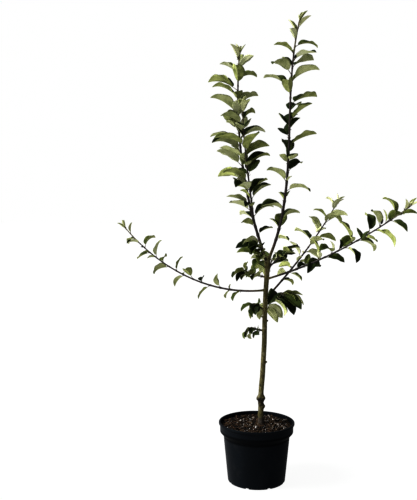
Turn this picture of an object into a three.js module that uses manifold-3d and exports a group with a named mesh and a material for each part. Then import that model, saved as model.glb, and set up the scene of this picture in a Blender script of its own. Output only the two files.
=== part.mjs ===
// A dwarf apple bush growing in a round black nursery pot: a grafted trunk that forks into two upright
// leaders, three low boughs spread to the sides, and the leafy shoots that grow on from their tips.
//
// Millimetres, +Z up. The origin is the centre of the pot's flat underside. +X is the side of the two
// right-hand boughs and +Y is the back.

import * as THREE from 'three';
import { mergeVertices } from 'three/addons/utils/BufferGeometryUtils.js';
import Module from 'manifold-3d';

const wasm = await Module();
wasm.setup();

// ---------------------------------------------------------------------------------------------------
// Driving dimensions
// ---------------------------------------------------------------------------------------------------

const SEAT_GAP = 0.35; // between two pieces that meet

const POT = {
  height: 205,
  lipRadius: 130,
  lipHeight: 7,
  lipRound: 2,
  ease: 1, // small bevels at the lip
  collarRadius: 125.5,
  collarFoot: 172.5,
  shoulderFoot: 157.5,
  wallTopRadius: 113.5,
  baseRadius: 98.5,
  baseRound: 3,
  wall: 2.4,
  floor: 8,
  segments: 40,
};

// Channels moulded into the underside, each from its inner end out through the foot of the wall.
const DRAIN = {
  count: 8,
  width: 13,
  height: 4.2,
  innerRadius: 46,
  overrun: 10,
  holeRadius: 80,
  holeSize: 5,
  holeSides: 12,
};

const SOIL = { edge: 193, crown: 194, crownRadius: 34, clearance: 0.4 };

const TRUNK = {
  depth: 12,
  // height and sideways place of the centreline, from the soil up to the fork
  line: [
    [194.3, 15.4], [262, 15.4], [294, 15.3], [322, 16.9], [364, 20.5], [406, 22.7], [476, 26.2],
    [531, 26.9], [573, 27.4], [639, 29.5], [683, 32], [735, 35.2], [770, 35],
  ],
  footRadius: 8.6,
  topRadius: 7.2,
  taper: 0.7,
  footCrowding: 1.6, // rings stand closer together at the foot, where the flare and the graft are
  rings: 30,
  sides: 12,
};

const ROOT_FLARE = { lobes: 5, height: 10, swell: 1.6, lobeDepth: 0.8 };

// Rounded swellings of the trunk: height, how far they stand out, half-height and the side they face.
const SWELLINGS = [
  { height: 222, out: 2.4, spread: 9, side: 180 },
  { height: 255, out: 6, spread: 6.5, side: 5 },
  { height: 282, out: 7, spread: 9.5, side: 180 },
  { height: 283, out: 6.4, spread: 9, side: 0 },
  { height: 270, out: 2.4, spread: 14, side: 90 },
];

const SWELLING_NARROW = 1.5; // power that narrows a swelling round the trunk

// The trunk widens sideways below the fork, to carry both leaders.
const FORK = { height: 34, widen: 3.6, spread: 5.2, sunk: 4 };

// Short stubs where side shoots were pruned off the trunk: height, side they face, length and radius.
const STUBS = [
  { height: 404, side: 10, length: 7, radius: 3 },
  { height: 548, side: 8, length: 6, radius: 2.6 },
  { height: 562, side: 176, length: 8, radius: 2.2 },
];

const STUB = { rise: 0.5, rings: 2, sides: 6, footShare: 1.25, endShare: 0.85 };

// Each limb leaves the trunk at a height, or at the fork, points to the side azimuth and climbs at the
// three angles of climb at its foot, middle and tip. Its first bare millimetres are the bough, and the
// rest is the stem of the foliage that grows on from it.
const LIMBS = {
  left_leader: { azimuth: 152, length: 720, climb: [67.5, 82.1, 94.7], radii: [4.5, 1.7], bare: 75 },
  right_leader: { azimuth: -40, length: 801, climb: [61.8, 88.1, 74.1], radii: [4.5, 1.7], bare: 62 },
  left_bough: {
    height: 659.3, azimuth: 168, length: 572, climb: [-8.4, 24, 48.7], radii: [3.1, 1.3], bare: 70,
  },
  right_low_bough: {
    height: 697.2, azimuth: -24, length: 543, climb: [17.3, 27.9, 37.3], radii: [3.1, 1.3], bare: 70,
  },
  right_high_bough: {
    height: 628.2, azimuth: 42, length: 514, climb: [33.8, 40.1, 48.6], radii: [3.3, 1.3], bare: 90,
  },
};

// A long side shoot that leaves the left leader's stem a distance up from the fork.
const SIDE_SHOOT = { distance: 137, azimuth: 235, length: 390, climb: [77.4, 77.1, 87.6], radii: [2.7, 1.3] };

// Short leafy spurs that grow straight out of the trunk, and turn upwards as they go.
const SPUR = { bare: 12, turn: 20, radii: [2.6, 1.8] };

const SPURS = {
  fork_left: { height: 752, azimuth: 222, length: 72, rise: 50 },
  fork_right: { height: 735, azimuth: -25, length: 82, rise: 35 },
  left_high: { height: 704, azimuth: 175, length: 72, rise: 5 },
  front: { height: 623, azimuth: -45, length: 80, rise: 15 },
  back_high: { height: 703, azimuth: 68, length: 80, rise: 35 },
  left_low: { height: 592, azimuth: 198, length: 44, rise: 20 },
  lowest: { height: 519, azimuth: 190, length: 50, rise: 5 },
  back_low: { height: 598, azimuth: 82, length: 40, rise: -5 },
};

// The leaves of each shoot: their number, longest blade, first angle round the stem, and seed.
const LEAFAGE = {
  left_leader: { count: 29, blade: 99, turn: 330, seed: 980 },
  side_shoot: { count: 16, blade: 100, turn: 10, seed: 360 },
  right_leader: { count: 28, blade: 92, turn: 190, seed: 681 },
  left_bough: { count: 17, blade: 59, turn: 100, seed: 64 },
  right_low_bough: { count: 21, blade: 78, turn: 190, seed: 626 },
  right_high_bough: { count: 17, blade: 75, turn: 195, seed: 689 },
  fork_left: { count: 10, blade: 72, turn: 305, seed: 142 },
  fork_right: { count: 10, blade: 58, turn: 180, seed: 865 },
  left_high: { count: 9, blade: 58, turn: 345, seed: 297 },
  front: { count: 10, blade: 72, turn: 10, seed: 649 },
  back_high: { count: 9, blade: 68, turn: 310, seed: 758 },
  left_low: { count: 9, blade: 54, turn: 220, seed: 996 },
  lowest: { count: 5, blade: 54, turn: 95, seed: 587 },
  back_low: { count: 9, blade: 67, turn: 215, seed: 874 },
};

// Each mass of foliage is one piece and holds these shoots.
const MASSES = {
  left_leader_foliage: ['left_leader', 'side_shoot'],
  right_leader_foliage: ['right_leader'],
  left_bough_foliage: ['left_bough'],
  right_low_foliage: ['right_low_bough'],
  right_high_foliage: ['right_high_bough'],
  fork_left_foliage: ['fork_left'],
  fork_right_foliage: ['fork_right'],
  left_high_foliage: ['left_high'],
  front_foliage: ['front'],
  back_high_foliage: ['back_high'],
  left_low_foliage: ['left_low'],
  lowest_foliage: ['lowest'],
  back_low_foliage: ['back_low'],
};

const LEAF = {
  goldenAngle: 137.5,
  turnJitter: 36,
  retryTurn: 47,
  tries: 8,
  crowding: 0.3, // how much closer the leaves stand at the tip than at the foot
  smallest: { foot: 0.64, tip: 0.34 }, // share of the longest blade
  widest: 0.55, // share of the shoot where blades are longest
  spurShare: 0.45, // where on a long shoot the leaves of a spur would stand
  firstPlace: 0.4,
  youngFrom: 0.84, // leaves past this share of the shoot are young and still folded
  rise: 54, // between the stem and the leaf stalk, and how far it varies
  riseSpread: 18,
  youngRise: 0.6, // share that a young leaf's angles lose
  lift: 0.25,
  depthShare: 0.5, // leaves turn towards the sides rather than to the front and back
  stalk: { shortest: 0.18, spread: 0.1 }, // of the blade's length
  rollSpread: 64,
  drop: { least: 2, spread: 16 }, // from the stalk down to the blade
  arch: { least: 14, spread: 40 }, // of the midrib over its whole length
  fold: { least: 30, spread: 32, young: 2 }, // of each half up from the midrib
  sizeSpread: { least: 0.82, spread: 0.36 },
  width: 0.66, // of the blade's length
  thickness: 0.026,
  stalkRadius: 1.1,
  steps: 10,
  rootDepth: 1,
  // share of the blade's length, of its width and of its thickness, from near its base to its tip
  sections: [[0.34, 1, 1], [0.74, 0.8, 0.92], [1, 0, 0]],
};

// Steps between the seeds of shoots, of leaves and of the tries for one leaf.
const SEED_STEP = { shoot: 7919, leaf: 131, attempt: 17 };

// Where a leaf is tested: a share of its stalk, shares of its midrib, and shares of its edges and width.
const PROBES = { stalk: 0.6, midrib: [0.25, 0.5, 0.75, 1], edges: [[0.2, 0.84], [0.5, 1], [0.8, 0.62]] };

// Distances that keep a leaf in its own space.
const CLEAR = { ground: 235, trunk: 13, limb: 8, ownStem: 8, otherShoot: 8, border: 3, leaf: 4.5 };

// The lines that leaves are kept clear of: their number of points, and the ends of the trunk's.
const TRACE = { trunk: 30, low: 195, high: 772, spur: 4, stem: 12, limb: 3 };

// Shoots: the straight steps of their centreline, the sides of their tubes, the spacing of the rings,
// and the last ring, which shrinks to a bud.
const TUBE = {
  steps: 40,
  limbSides: 8,
  stemSides: 4,
  limbRing: 18,
  stemRing: 48,
  budFrom: 0.999,
  budShare: 0.35,
};

const UP = new THREE.Vector3(0, 0, 1);
const radians = THREE.MathUtils.degToRad;

const FINISH = {
  plastic: new THREE.MeshStandardMaterial({ color: 0x14171a, roughness: 0.5, metalness: 0 }),
  compost: new THREE.MeshStandardMaterial({ color: 0x2c211a, roughness: 1, metalness: 0 }),
  bark: new THREE.MeshStandardMaterial({ color: 0x5c5738, roughness: 0.85, metalness: 0 }),
  shoot: new THREE.MeshStandardMaterial({ color: 0x4a3a30, roughness: 0.7, metalness: 0 }),
  leaf: new THREE.MeshStandardMaterial({ color: 0x55702a, roughness: 0.55, metalness: 0 }),
};

// ---------------------------------------------------------------------------------------------------
// Solids
// ---------------------------------------------------------------------------------------------------

function toSolid(geometry) {
  const bare = geometry.clone();
  bare.deleteAttribute('normal');
  bare.deleteAttribute('uv');
  const merged = mergeVertices(bare, 1e-4);
  const corners = merged.index.array;
  const triangles = [];
  for (let i = 0; i < corners.length; i += 3) {
    const [a, b, c] = corners.slice(i, i + 3);
    if (a !== b && b !== c && c !== a) {
      triangles.push(a, b, c);
    }
  }
  return new wasm.Manifold(new wasm.Mesh({
    numProp: 3,
    vertProperties: new Float32Array(merged.attributes.position.array),
    triVerts: new Uint32Array(triangles),
  }));
}

function toGeometry(solid) {
  const { vertProperties, triVerts } = solid.getMesh();
  const geometry = new THREE.BufferGeometry();
  geometry.setAttribute('position', new THREE.Float32BufferAttribute(vertProperties, 3));
  geometry.setIndex(new THREE.Uint32BufferAttribute(triVerts, 1));
  geometry.computeVertexNormals();
  return geometry;
}

function largestBody(solid) {
  const bodies = solid.decompose();
  return bodies.reduce((best, body) => (body.volume() > best.volume() ? body : best));
}

// A tube with one ring of corners round each place along it, and flat ends. The function ring gives
// the centre of a ring, and the two directions and the radius of its corner at an angle.
function tube(rings, sides, ring) {
  const geometry = new THREE.CylinderGeometry(1, 1, 1, sides, rings);
  const position = geometry.attributes.position;
  const corner = new THREE.Vector3();
  for (let i = 0; i < position.count; i += 1) {
    corner.fromBufferAttribute(position, i);
    const share = corner.y + 0.5;
    const angle = Math.atan2(corner.z, corner.x);
    const spoke = Math.hypot(corner.x, corner.z) > 0.5 ? 1 : 0;
    const { centre, right, ahead, radius } = ring(share, angle);
    corner.copy(centre).addScaledVector(right, spoke * radius * Math.cos(angle));
    corner.addScaledVector(ahead, -spoke * radius * Math.sin(angle));
    position.setXYZ(i, corner.x, corner.y, corner.z);
  }
  return toSolid(geometry);
}

function revolve(profile, segments) {
  const points = profile.map(([radius, height]) => new THREE.Vector2(radius, height));
  const geometry = new THREE.LatheGeometry(points, segments);
  geometry.rotateX(Math.PI / 2);
  return toSolid(geometry);
}

function roundedCorner(radius, height, round, from, to, steps) {
  const points = [];
  for (let i = 0; i <= steps; i += 1) {
    const angle = radians(from + ((to - from) * i) / steps);
    points.push([radius + round * Math.cos(angle), height + round * Math.sin(angle)]);
  }
  return points;
}

// ---------------------------------------------------------------------------------------------------
// Pot and soil
// ---------------------------------------------------------------------------------------------------

function potWallRadius(height) {
  const share = height / POT.shoulderFoot;
  return POT.baseRadius + (POT.wallTopRadius - POT.baseRadius) * share;
}

function makePot() {
  const { height, lipRadius, lipRound, lipHeight, collarRadius, collarFoot, shoulderFoot } = POT;
  const inside = collarRadius - POT.wall;
  const outline = [
    [0, 0],
    ...roundedCorner(POT.baseRadius - POT.baseRound, POT.baseRound, POT.baseRound, -90, 0, 1),
    [POT.wallTopRadius, shoulderFoot],
    [collarRadius, collarFoot],
    [collarRadius, height - lipHeight],
    [lipRadius, height - lipHeight + POT.ease],
    ...roundedCorner(lipRadius - lipRound, height - lipRound, lipRound, 0, 90, 1),
    [inside + POT.ease, height],
    [inside, height - POT.ease],
    [inside, collarFoot],
    [POT.wallTopRadius - POT.wall, shoulderFoot],
    [potWallRadius(POT.floor) - POT.wall, POT.floor],
    [0, POT.floor],
  ];
  let pot = revolve(outline, POT.segments);
  const reach = POT.baseRadius + DRAIN.overrun - DRAIN.innerRadius;
  const channel = new THREE.BoxGeometry(reach, DRAIN.width, 2 * DRAIN.height);
  channel.translate(DRAIN.innerRadius + reach / 2, 0, 0);
  const hole = new THREE.CylinderGeometry(DRAIN.holeSize, DRAIN.holeSize, 4 * POT.floor, DRAIN.holeSides);
  hole.rotateX(Math.PI / 2);
  hole.translate(DRAIN.holeRadius, 0, 0);
  const cutter = toSolid(channel).add(toSolid(hole));
  for (let i = 0; i < DRAIN.count; i += 1) {
    pot = pot.subtract(cutter.rotate([0, 0, ((i + 0.5) * 360) / DRAIN.count]));
  }
  return toGeometry(pot);
}

function makeSoil() {
  const { clearance } = SOIL;
  const collarInside = POT.collarRadius - POT.wall - clearance;
  const foot = POT.floor + clearance;
  const outline = [
    [0, foot],
    [potWallRadius(foot) - POT.wall - clearance, foot],
    [POT.wallTopRadius - POT.wall - clearance, POT.shoulderFoot + clearance / 2],
    [collarInside, POT.collarFoot + clearance / 2],
    [collarInside, SOIL.edge],
    [SOIL.crownRadius, SOIL.crown],
    [0, SOIL.crown],
  ];
  return toGeometry(revolve(outline, POT.segments));
}

// ---------------------------------------------------------------------------------------------------
// Trunk and boughs
// ---------------------------------------------------------------------------------------------------

function trunkAt(height) {
  const { line } = TRUNK;
  let i = 1;
  while (i < line.length - 1 && line[i][0] < height) {
    i += 1;
  }
  const [low, lowX] = line[i - 1];
  const [high, highX] = line[i];
  const x = lowX + ((highX - lowX) * (height - low)) / (high - low);
  return new THREE.Vector3(x, TRUNK.depth, height);
}

const TRUNK_FOOT = TRUNK.line[0][0];
const TRUNK_TOP = TRUNK.line[TRUNK.line.length - 1][0];

function trunkRadius(height, angle) {
  const share = (height - TRUNK_FOOT) / (TRUNK_TOP - TRUNK_FOOT);
  let radius = TRUNK.footRadius + (TRUNK.topRadius - TRUNK.footRadius) * share ** TRUNK.taper;
  const foot = Math.exp(-(height - TRUNK_FOOT) / ROOT_FLARE.height);
  radius += foot * (ROOT_FLARE.swell + ROOT_FLARE.lobeDepth * Math.cos(ROOT_FLARE.lobes * angle));
  for (const bump of SWELLINGS) {
    const rise = Math.exp(-(((height - bump.height) / bump.spread) ** 2));
    const facing = Math.max(0, Math.cos(angle - radians(bump.side)));
    radius += bump.out * rise * facing ** SWELLING_NARROW;
  }
  const fork = Math.exp(-(TRUNK_TOP - height) / FORK.height);
  return radius + FORK.widen * fork * Math.cos(angle) ** 2;
}

function trunkSolid(grow) {
  const right = new THREE.Vector3(1, 0, 0);
  const ahead = new THREE.Vector3(0, 1, 0);
  const low = TRUNK_FOOT - grow;
  const high = TRUNK_TOP + grow;
  return tube(TRUNK.rings, TRUNK.sides, (share, angle) => {
    const height = low + (high - low) * share ** TRUNK.footCrowding;
    const kept = Math.min(Math.max(height, TRUNK_FOOT), TRUNK_TOP);
    const centre = trunkAt(kept).setZ(height);
    return { centre, right, ahead, radius: trunkRadius(kept, -angle) + grow };
  });
}

function stubSolid(stub) {
  const centre = trunkAt(stub.height);
  const side = radians(stub.side);
  const out = new THREE.Vector3(Math.cos(side), Math.sin(side), STUB.rise).normalize();
  const right = new THREE.Vector3(-Math.sin(side), Math.cos(side), 0);
  const ahead = new THREE.Vector3().crossVectors(out, right);
  const reach = trunkRadius(stub.height, side) + stub.length;
  return tube(STUB.rings, STUB.sides, (share) => ({
    centre: centre.clone().addScaledVector(out, share * reach),
    right,
    ahead,
    radius: stub.radius * (STUB.footShare + (STUB.endShare - STUB.footShare) * share),
  }));
}

function makeTrunk() {
  let trunk = trunkSolid(0);
  for (const stub of STUBS) {
    trunk = trunk.add(stubSolid(stub));
  }
  return toGeometry(trunk);
}

// The centreline of a shoot: it climbs at an angle that changes smoothly from its foot to its tip.
class Shoot {
  constructor({ start, azimuth, length, climb, radii, bare }) {
    this.azimuth = radians(azimuth);
    this.length = length;
    this.radii = radii;
    this.bare = bare;
    this.points = [start.clone()];
    this.directions = [];
    const [foot, middle, tip] = climb;
    for (let i = 0; i < TUBE.steps; i += 1) {
      const t = (i + 0.5) / TUBE.steps;
      const angle = radians(
        foot * (1 - t) * (1 - 2 * t) + middle * 4 * t * (1 - t) + tip * t * (2 * t - 1),
      );
      const level = Math.cos(angle);
      const direction = new THREE.Vector3(
        Math.cos(this.azimuth) * level,
        Math.sin(this.azimuth) * level,
        Math.sin(angle),
      );
      this.directions.push(direction);
      this.points.push(this.points[i].clone().addScaledVector(direction, length / TUBE.steps));
    }
  }

  at(distance) {
    const place = Math.min(Math.max(distance / this.length, 0), 0.99999) * TUBE.steps;
    const i = Math.floor(place);
    const point = this.points[i].clone().lerp(this.points[i + 1], place - i);
    return { point, direction: this.directions[i] };
  }

  radiusAt(distance) {
    const [foot, tip] = this.radii;
    return foot + (tip - foot) * (distance / this.length);
  }

  part(from, to, count) {
    const points = [];
    for (let i = 0; i <= count; i += 1) {
      points.push(this.at(from + ((to - from) * i) / count).point);
    }
    return points;
  }

  // A tapering tube along the shoot, whose last ring shrinks to a bud where it has one.
  solid(from, to, sides, spacing, bud) {
    const right = new THREE.Vector3(-Math.sin(this.azimuth), Math.cos(this.azimuth), 0);
    const rings = Math.max(2, Math.round((to - from) / spacing));
    return tube(rings, sides, (share) => {
      const distance = from + (to - from) * share;
      const { point, direction } = this.at(distance);
      const ahead = new THREE.Vector3().crossVectors(direction, right);
      const radius = this.radiusAt(distance) * (bud && share > TUBE.budFrom ? TUBE.budShare : 1);
      return { centre: point, right, ahead, radius };
    });
  }
}

function makeShoots() {
  const shoots = {};
  for (const [name, limb] of Object.entries(LIMBS)) {
    const start = trunkAt(limb.height ?? TRUNK_TOP);
    if (!limb.height) {
      start.x += FORK.spread * Math.cos(radians(limb.azimuth));
      start.y += FORK.spread * Math.sin(radians(limb.azimuth));
      start.z -= FORK.sunk;
    }
    shoots[name] = new Shoot({ ...limb, start });
  }
  const start = shoots.left_leader.at(SIDE_SHOOT.distance).point;
  shoots.side_shoot = new Shoot({ ...SIDE_SHOOT, start, bare: 0 });
  for (const [name, { height, azimuth, length, rise }] of Object.entries(SPURS)) {
    const climb = [rise, rise + SPUR.turn / 2, rise + SPUR.turn];
    const { bare, radii } = SPUR;
    shoots[name] = new Shoot({ start: trunkAt(height), azimuth, length, climb, radii, bare });
  }
  return shoots;
}

// ---------------------------------------------------------------------------------------------------
// Leaves
// ---------------------------------------------------------------------------------------------------

// A small generator of repeatable numbers from 0 to 1.
function seeded(seed) {
  let state = seed >>> 0;
  return () => {
    state = (state + 0x6d2b79f5) >>> 0;
    let t = Math.imul(state ^ (state >>> 15), state | 1) >>> 0;
    t = (t ^ (t + (Math.imul(t ^ (t >>> 7), t | 61) >>> 0))) >>> 0;
    return ((t ^ (t >>> 14)) >>> 0) / 4294967296;
  };
}

// The share of the longest blade that a leaf at a share of its shoot has.
function bladeShare(share) {
  const { foot, tip } = LEAF.smallest;
  if (share < LEAF.widest) {
    return foot + (1 - foot) * Math.sin((Math.PI / 2) * (share / LEAF.widest));
  }
  return 1 - (1 - tip) * ((share - LEAF.widest) / (1 - LEAF.widest)) ** 2;
}

// One leaf: a stalk that rises from the stem, and a blade that is folded along its midrib and arches
// over towards its tip.
class Leaf {
  constructor(shoot, distance, turn, length, youth, random) {
    const varied = (least, spread) => least + spread * random();
    const { point, direction } = shoot.at(distance);
    const side = new THREE.Vector3(-Math.sin(shoot.azimuth), Math.cos(shoot.azimuth), 0);
    side.addScaledVector(direction, -direction.dot(side)).normalize();
    const back = new THREE.Vector3().crossVectors(side, direction);
    if (back.z < 0) {
      back.negate();
    }
    const out = back.multiplyScalar(Math.cos(turn)).addScaledVector(side, Math.sin(turn));
    out.setY(out.y * LEAF.depthShare).normalize();
    const ripe = 1 - LEAF.youngRise * youth;
    const rise = radians((LEAF.rise + (random() - 0.5) * LEAF.riseSpread) * ripe);
    const stalk = direction.clone().multiplyScalar(Math.cos(rise));
    stalk.addScaledVector(out, Math.sin(rise)).addScaledVector(UP, LEAF.lift).normalize();
    this.root = point;
    this.length = length;
    this.base = point.clone().addScaledVector(stalk, length * varied(LEAF.stalk.shortest, LEAF.stalk.spread));
    const up = UP.clone().add(direction).normalize();
    up.addScaledVector(stalk, -stalk.dot(up)).normalize();
    const roll = radians((random() - 0.5) * LEAF.rollSpread);
    const rolled = new THREE.Vector3().crossVectors(stalk, up).multiplyScalar(Math.sin(roll));
    rolled.addScaledVector(up, Math.cos(roll));
    const drop = radians(varied(LEAF.drop.least, LEAF.drop.spread) * (1 - youth));
    this.along = stalk.clone().multiplyScalar(Math.cos(drop)).addScaledVector(rolled, -Math.sin(drop));
    this.normal = rolled.clone().multiplyScalar(Math.cos(drop)).addScaledVector(stalk, Math.sin(drop));
    this.across = new THREE.Vector3().crossVectors(this.along, this.normal);
    this.arch = radians(varied(LEAF.arch.least, LEAF.arch.spread) * ripe);
    this.fold = radians(varied(LEAF.fold.least, LEAF.fold.spread) + LEAF.fold.young * youth);
    this.midrib = [this.base];
    for (let i = 0; i < LEAF.steps; i += 1) {
      const bend = (this.arch * (i + 0.5)) / LEAF.steps;
      const next = this.midrib[i].clone().addScaledVector(this.along, (length / LEAF.steps) * Math.cos(bend));
      next.addScaledVector(this.normal, -(length / LEAF.steps) * Math.sin(bend));
      this.midrib.push(next);
    }
  }

  // The blade's upward direction at a share of its length.
  normalAt(share) {
    const bend = this.arch * share;
    const normal = this.normal.clone().multiplyScalar(Math.cos(bend));
    return normal.addScaledVector(this.along, Math.sin(bend));
  }

  // A point of the blade, from its left edge at -1 to its right edge at 1 where it is at its widest.
  point(share, across) {
    const place = Math.min(share * LEAF.steps, LEAF.steps - 1e-9);
    const i = Math.floor(place);
    const point = this.midrib[i].clone().lerp(this.midrib[i + 1], place - i);
    const half = (across * this.length * LEAF.width) / 2;
    point.addScaledVector(this.across, half * Math.cos(this.fold));
    return point.addScaledVector(this.normalAt(share), Math.abs(half) * Math.sin(this.fold));
  }

  // Points spread over the stalk and the blade; the stalk's two come first.
  samples() {
    const points = [this.root.clone().lerp(this.base, PROBES.stalk), this.base.clone()];
    for (const share of PROBES.midrib) {
      points.push(this.point(share, 0));
    }
    for (const [share, width] of PROBES.edges) {
      points.push(this.point(share, width), this.point(share, -width));
    }
    return points;
  }

  // A corner of the stalk, or of the short root sunk behind the stem's axis.
  stalkCorner(ring, across, above) {
    const stalk = this.base.clone().sub(this.root);
    const point = ring === 2 ? this.base.clone() : this.root.clone();
    if (ring === 0) {
      return point.addScaledVector(stalk.normalize(), -LEAF.rootDepth);
    }
    point.addScaledVector(this.across, across * LEAF.stalkRadius);
    return point.addScaledVector(this.normal, above * LEAF.stalkRadius);
  }

  bladeCorner([share, width, thick], across, above) {
    const lift = (above * thick * this.length * LEAF.thickness) / 2;
    return this.point(share, across * width).addScaledVector(this.normalAt(share), lift);
  }

  // Stalk and blade as one closed body, with rings of four corners: both edges, above and below.
  solid() {
    const rings = LEAF.sections.length + 2;
    const geometry = new THREE.SphereGeometry(1, 4, rings);
    const position = geometry.attributes.position;
    const corner = new THREE.Vector3();
    for (let i = 0; i < position.count; i += 1) {
      corner.fromBufferAttribute(position, i);
      const ring = Math.round((Math.acos(corner.y) * rings) / Math.PI);
      const size = Math.max(Math.hypot(corner.x, corner.z), 1e-6);
      const across = -Math.round(corner.x / size);
      const above = Math.round(corner.z / size);
      const moved = ring < 3
        ? this.stalkCorner(ring, across, above)
        : this.bladeCorner(LEAF.sections[ring - 3], across, above);
      position.setXYZ(i, moved.x, moved.y, moved.z);
    }
    return toSolid(geometry);
  }
}

// The distance of a point from a line of straight stretches.
function distanceToLine(point, line) {
  let nearest = Infinity;
  const stretch = new THREE.Line3();
  const foot = new THREE.Vector3();
  for (let i = 0; i < line.length - 1; i += 1) {
    stretch.set(line[i], line[i + 1]);
    stretch.closestPointToPoint(point, true, foot);
    nearest = Math.min(nearest, foot.distanceTo(point));
  }
  return nearest;
}

// Grows the leaves of every shoot, each in the space of its own mass.
class Crown {
  constructor(shoots) {
    this.shoots = shoots;
    this.trunk = [];
    for (let i = 0; i < TRACE.trunk; i += 1) {
      this.trunk.push(trunkAt(TRACE.low + ((TRACE.high - TRACE.low) * i) / (TRACE.trunk - 1)));
    }
    this.stems = {};
    this.limbs = {};
    this.massOf = {};
    for (const [mass, names] of Object.entries(MASSES)) {
      for (const name of names) {
        const shoot = shoots[name];
        this.stems[name] = shoot.part(shoot.bare, shoot.length, name in SPURS ? TRACE.spur : TRACE.stem);
        this.massOf[name] = mass;
        if (shoot.bare > 0) {
          this.limbs[name] = shoot.part(0, shoot.bare, TRACE.limb);
        }
      }
    }
  }

  isClear(name, samples, neighbours) {
    const blade = samples.slice(2);
    if (Math.min(...samples.map((point) => point.z)) < CLEAR.ground) {
      return false;
    }
    if (samples.slice(3, 6).some((p) => distanceToLine(p, this.shoots[name].points) < CLEAR.ownStem)) {
      return false;
    }
    if (samples.some((point) => distanceToLine(point, this.trunk) < CLEAR.trunk)) {
      return false;
    }
    for (const [other, line] of Object.entries(this.limbs)) {
      if (other !== name && samples.some((point) => distanceToLine(point, line) < CLEAR.limb)) {
        return false;
      }
    }
    const own = samples.map((point) => distanceToLine(point, this.stems[name]));
    for (const [other, line] of Object.entries(this.stems)) {
      if (other === name) {
        continue;
      }
      const away = samples.map((point) => distanceToLine(point, line));
      const same = this.massOf[other] === this.massOf[name];
      if (same ? Math.min(...away) < CLEAR.otherShoot : away.some((d, i) => d < own[i] + CLEAR.border)) {
        return false;
      }
    }
    return !neighbours.some((point) => blade.some((own) => own.distanceTo(point) < CLEAR.leaf));
  }

  grow(name, neighbours) {
    const shoot = this.shoots[name];
    const { count, blade, turn, seed } = LEAFAGE[name];
    const { sizeSpread } = LEAF;
    const leaves = [];
    for (let i = 0; i < count; i += 1) {
      const t = (i + LEAF.firstPlace) / count;
      const ahead = t * (1 + LEAF.crowding - LEAF.crowding * t);
      const distance = shoot.bare + (shoot.length - shoot.bare) * ahead;
      const share = name in SPURS ? LEAF.spurShare : t;
      const youth = Math.max(0, (share - LEAF.youngFrom) / (1 - LEAF.youngFrom));
      for (let attempt = 0; attempt < LEAF.tries; attempt += 1) {
        const random = seeded(seed * SEED_STEP.shoot + i * SEED_STEP.leaf + attempt * SEED_STEP.attempt);
        const spin = turn + i * LEAF.goldenAngle + (random() - 0.5) * LEAF.turnJitter;
        const length = blade * bladeShare(share) * (sizeSpread.least + sizeSpread.spread * random());
        const spun = radians(spin + attempt * LEAF.retryTurn);
        const leaf = new Leaf(shoot, distance, spun, length, youth, random);
        const samples = leaf.samples();
        if (this.isClear(name, samples, neighbours)) {
          leaves.push(leaf);
          neighbours.push(...samples.slice(2));
          break;
        }
      }
    }
    return leaves;
  }
}

// ---------------------------------------------------------------------------------------------------
// The whole plant
// ---------------------------------------------------------------------------------------------------

function makeBough(shoot, cutter) {
  const whole = shoot.solid(0, shoot.bare, TUBE.limbSides, TUBE.limbRing, false);
  return toGeometry(largestBody(whole.subtract(cutter)));
}

function makeMass(names, shoots, crown, cutter) {
  const neighbours = [];
  let mass = null;
  for (const name of names) {
    const shoot = shoots[name];
    const spur = name in SPURS;
    const from = spur ? 0 : shoot.bare + (shoot.bare > 0 ? SEAT_GAP : 0);
    const stem = shoot.solid(from, shoot.length, TUBE.stemSides, TUBE.stemRing, true);
    mass = mass ? mass.add(stem) : stem;
    for (const leaf of crown.grow(name, neighbours)) {
      mass = mass.add(leaf.solid());
    }
    if (spur) {
      mass = mass.subtract(cutter);
    }
  }
  return toGeometry(largestBody(mass));
}

function addPiece(group, name, geometry, material) {
  const mesh = new THREE.Mesh(geometry, material);
  mesh.name = name;
  group.add(mesh);
}

const tree = new THREE.Group();
const shoots = makeShoots();
const trunkCutter = trunkSolid(SEAT_GAP);
const crown = new Crown(shoots);

addPiece(tree, 'pot', makePot(), FINISH.plastic);
addPiece(tree, 'soil', makeSoil(), FINISH.compost);
addPiece(tree, 'trunk', makeTrunk(), FINISH.bark);
for (const name of Object.keys(LIMBS)) {
  addPiece(tree, name, makeBough(shoots[name], trunkCutter), FINISH.shoot);
}
for (const [name, members] of Object.entries(MASSES)) {
  addPiece(tree, name, makeMass(members, shoots, crown, trunkCutter), FINISH.leaf);
}

export default tree;
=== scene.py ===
"""Looks of a young dwarf apple bush in a round nursery pot.

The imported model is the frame. Each class makes one sub-assembly in its place: the pot, the compost, the
bark of the trunk and boughs, and the twigs and leaves of each mass of foliage, which grow by the same
seeded rule as the solids that they replace. Lengths are in metres, +Z is up, and the origin is under the
middle of the pot.
"""

import logging
import math
from collections.abc import Callable, Iterable, Sequence
from dataclasses import dataclass, field
from enum import IntEnum

import bmesh
import bpy
import numpy as np
from mathutils import Matrix, Vector, noise

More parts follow.
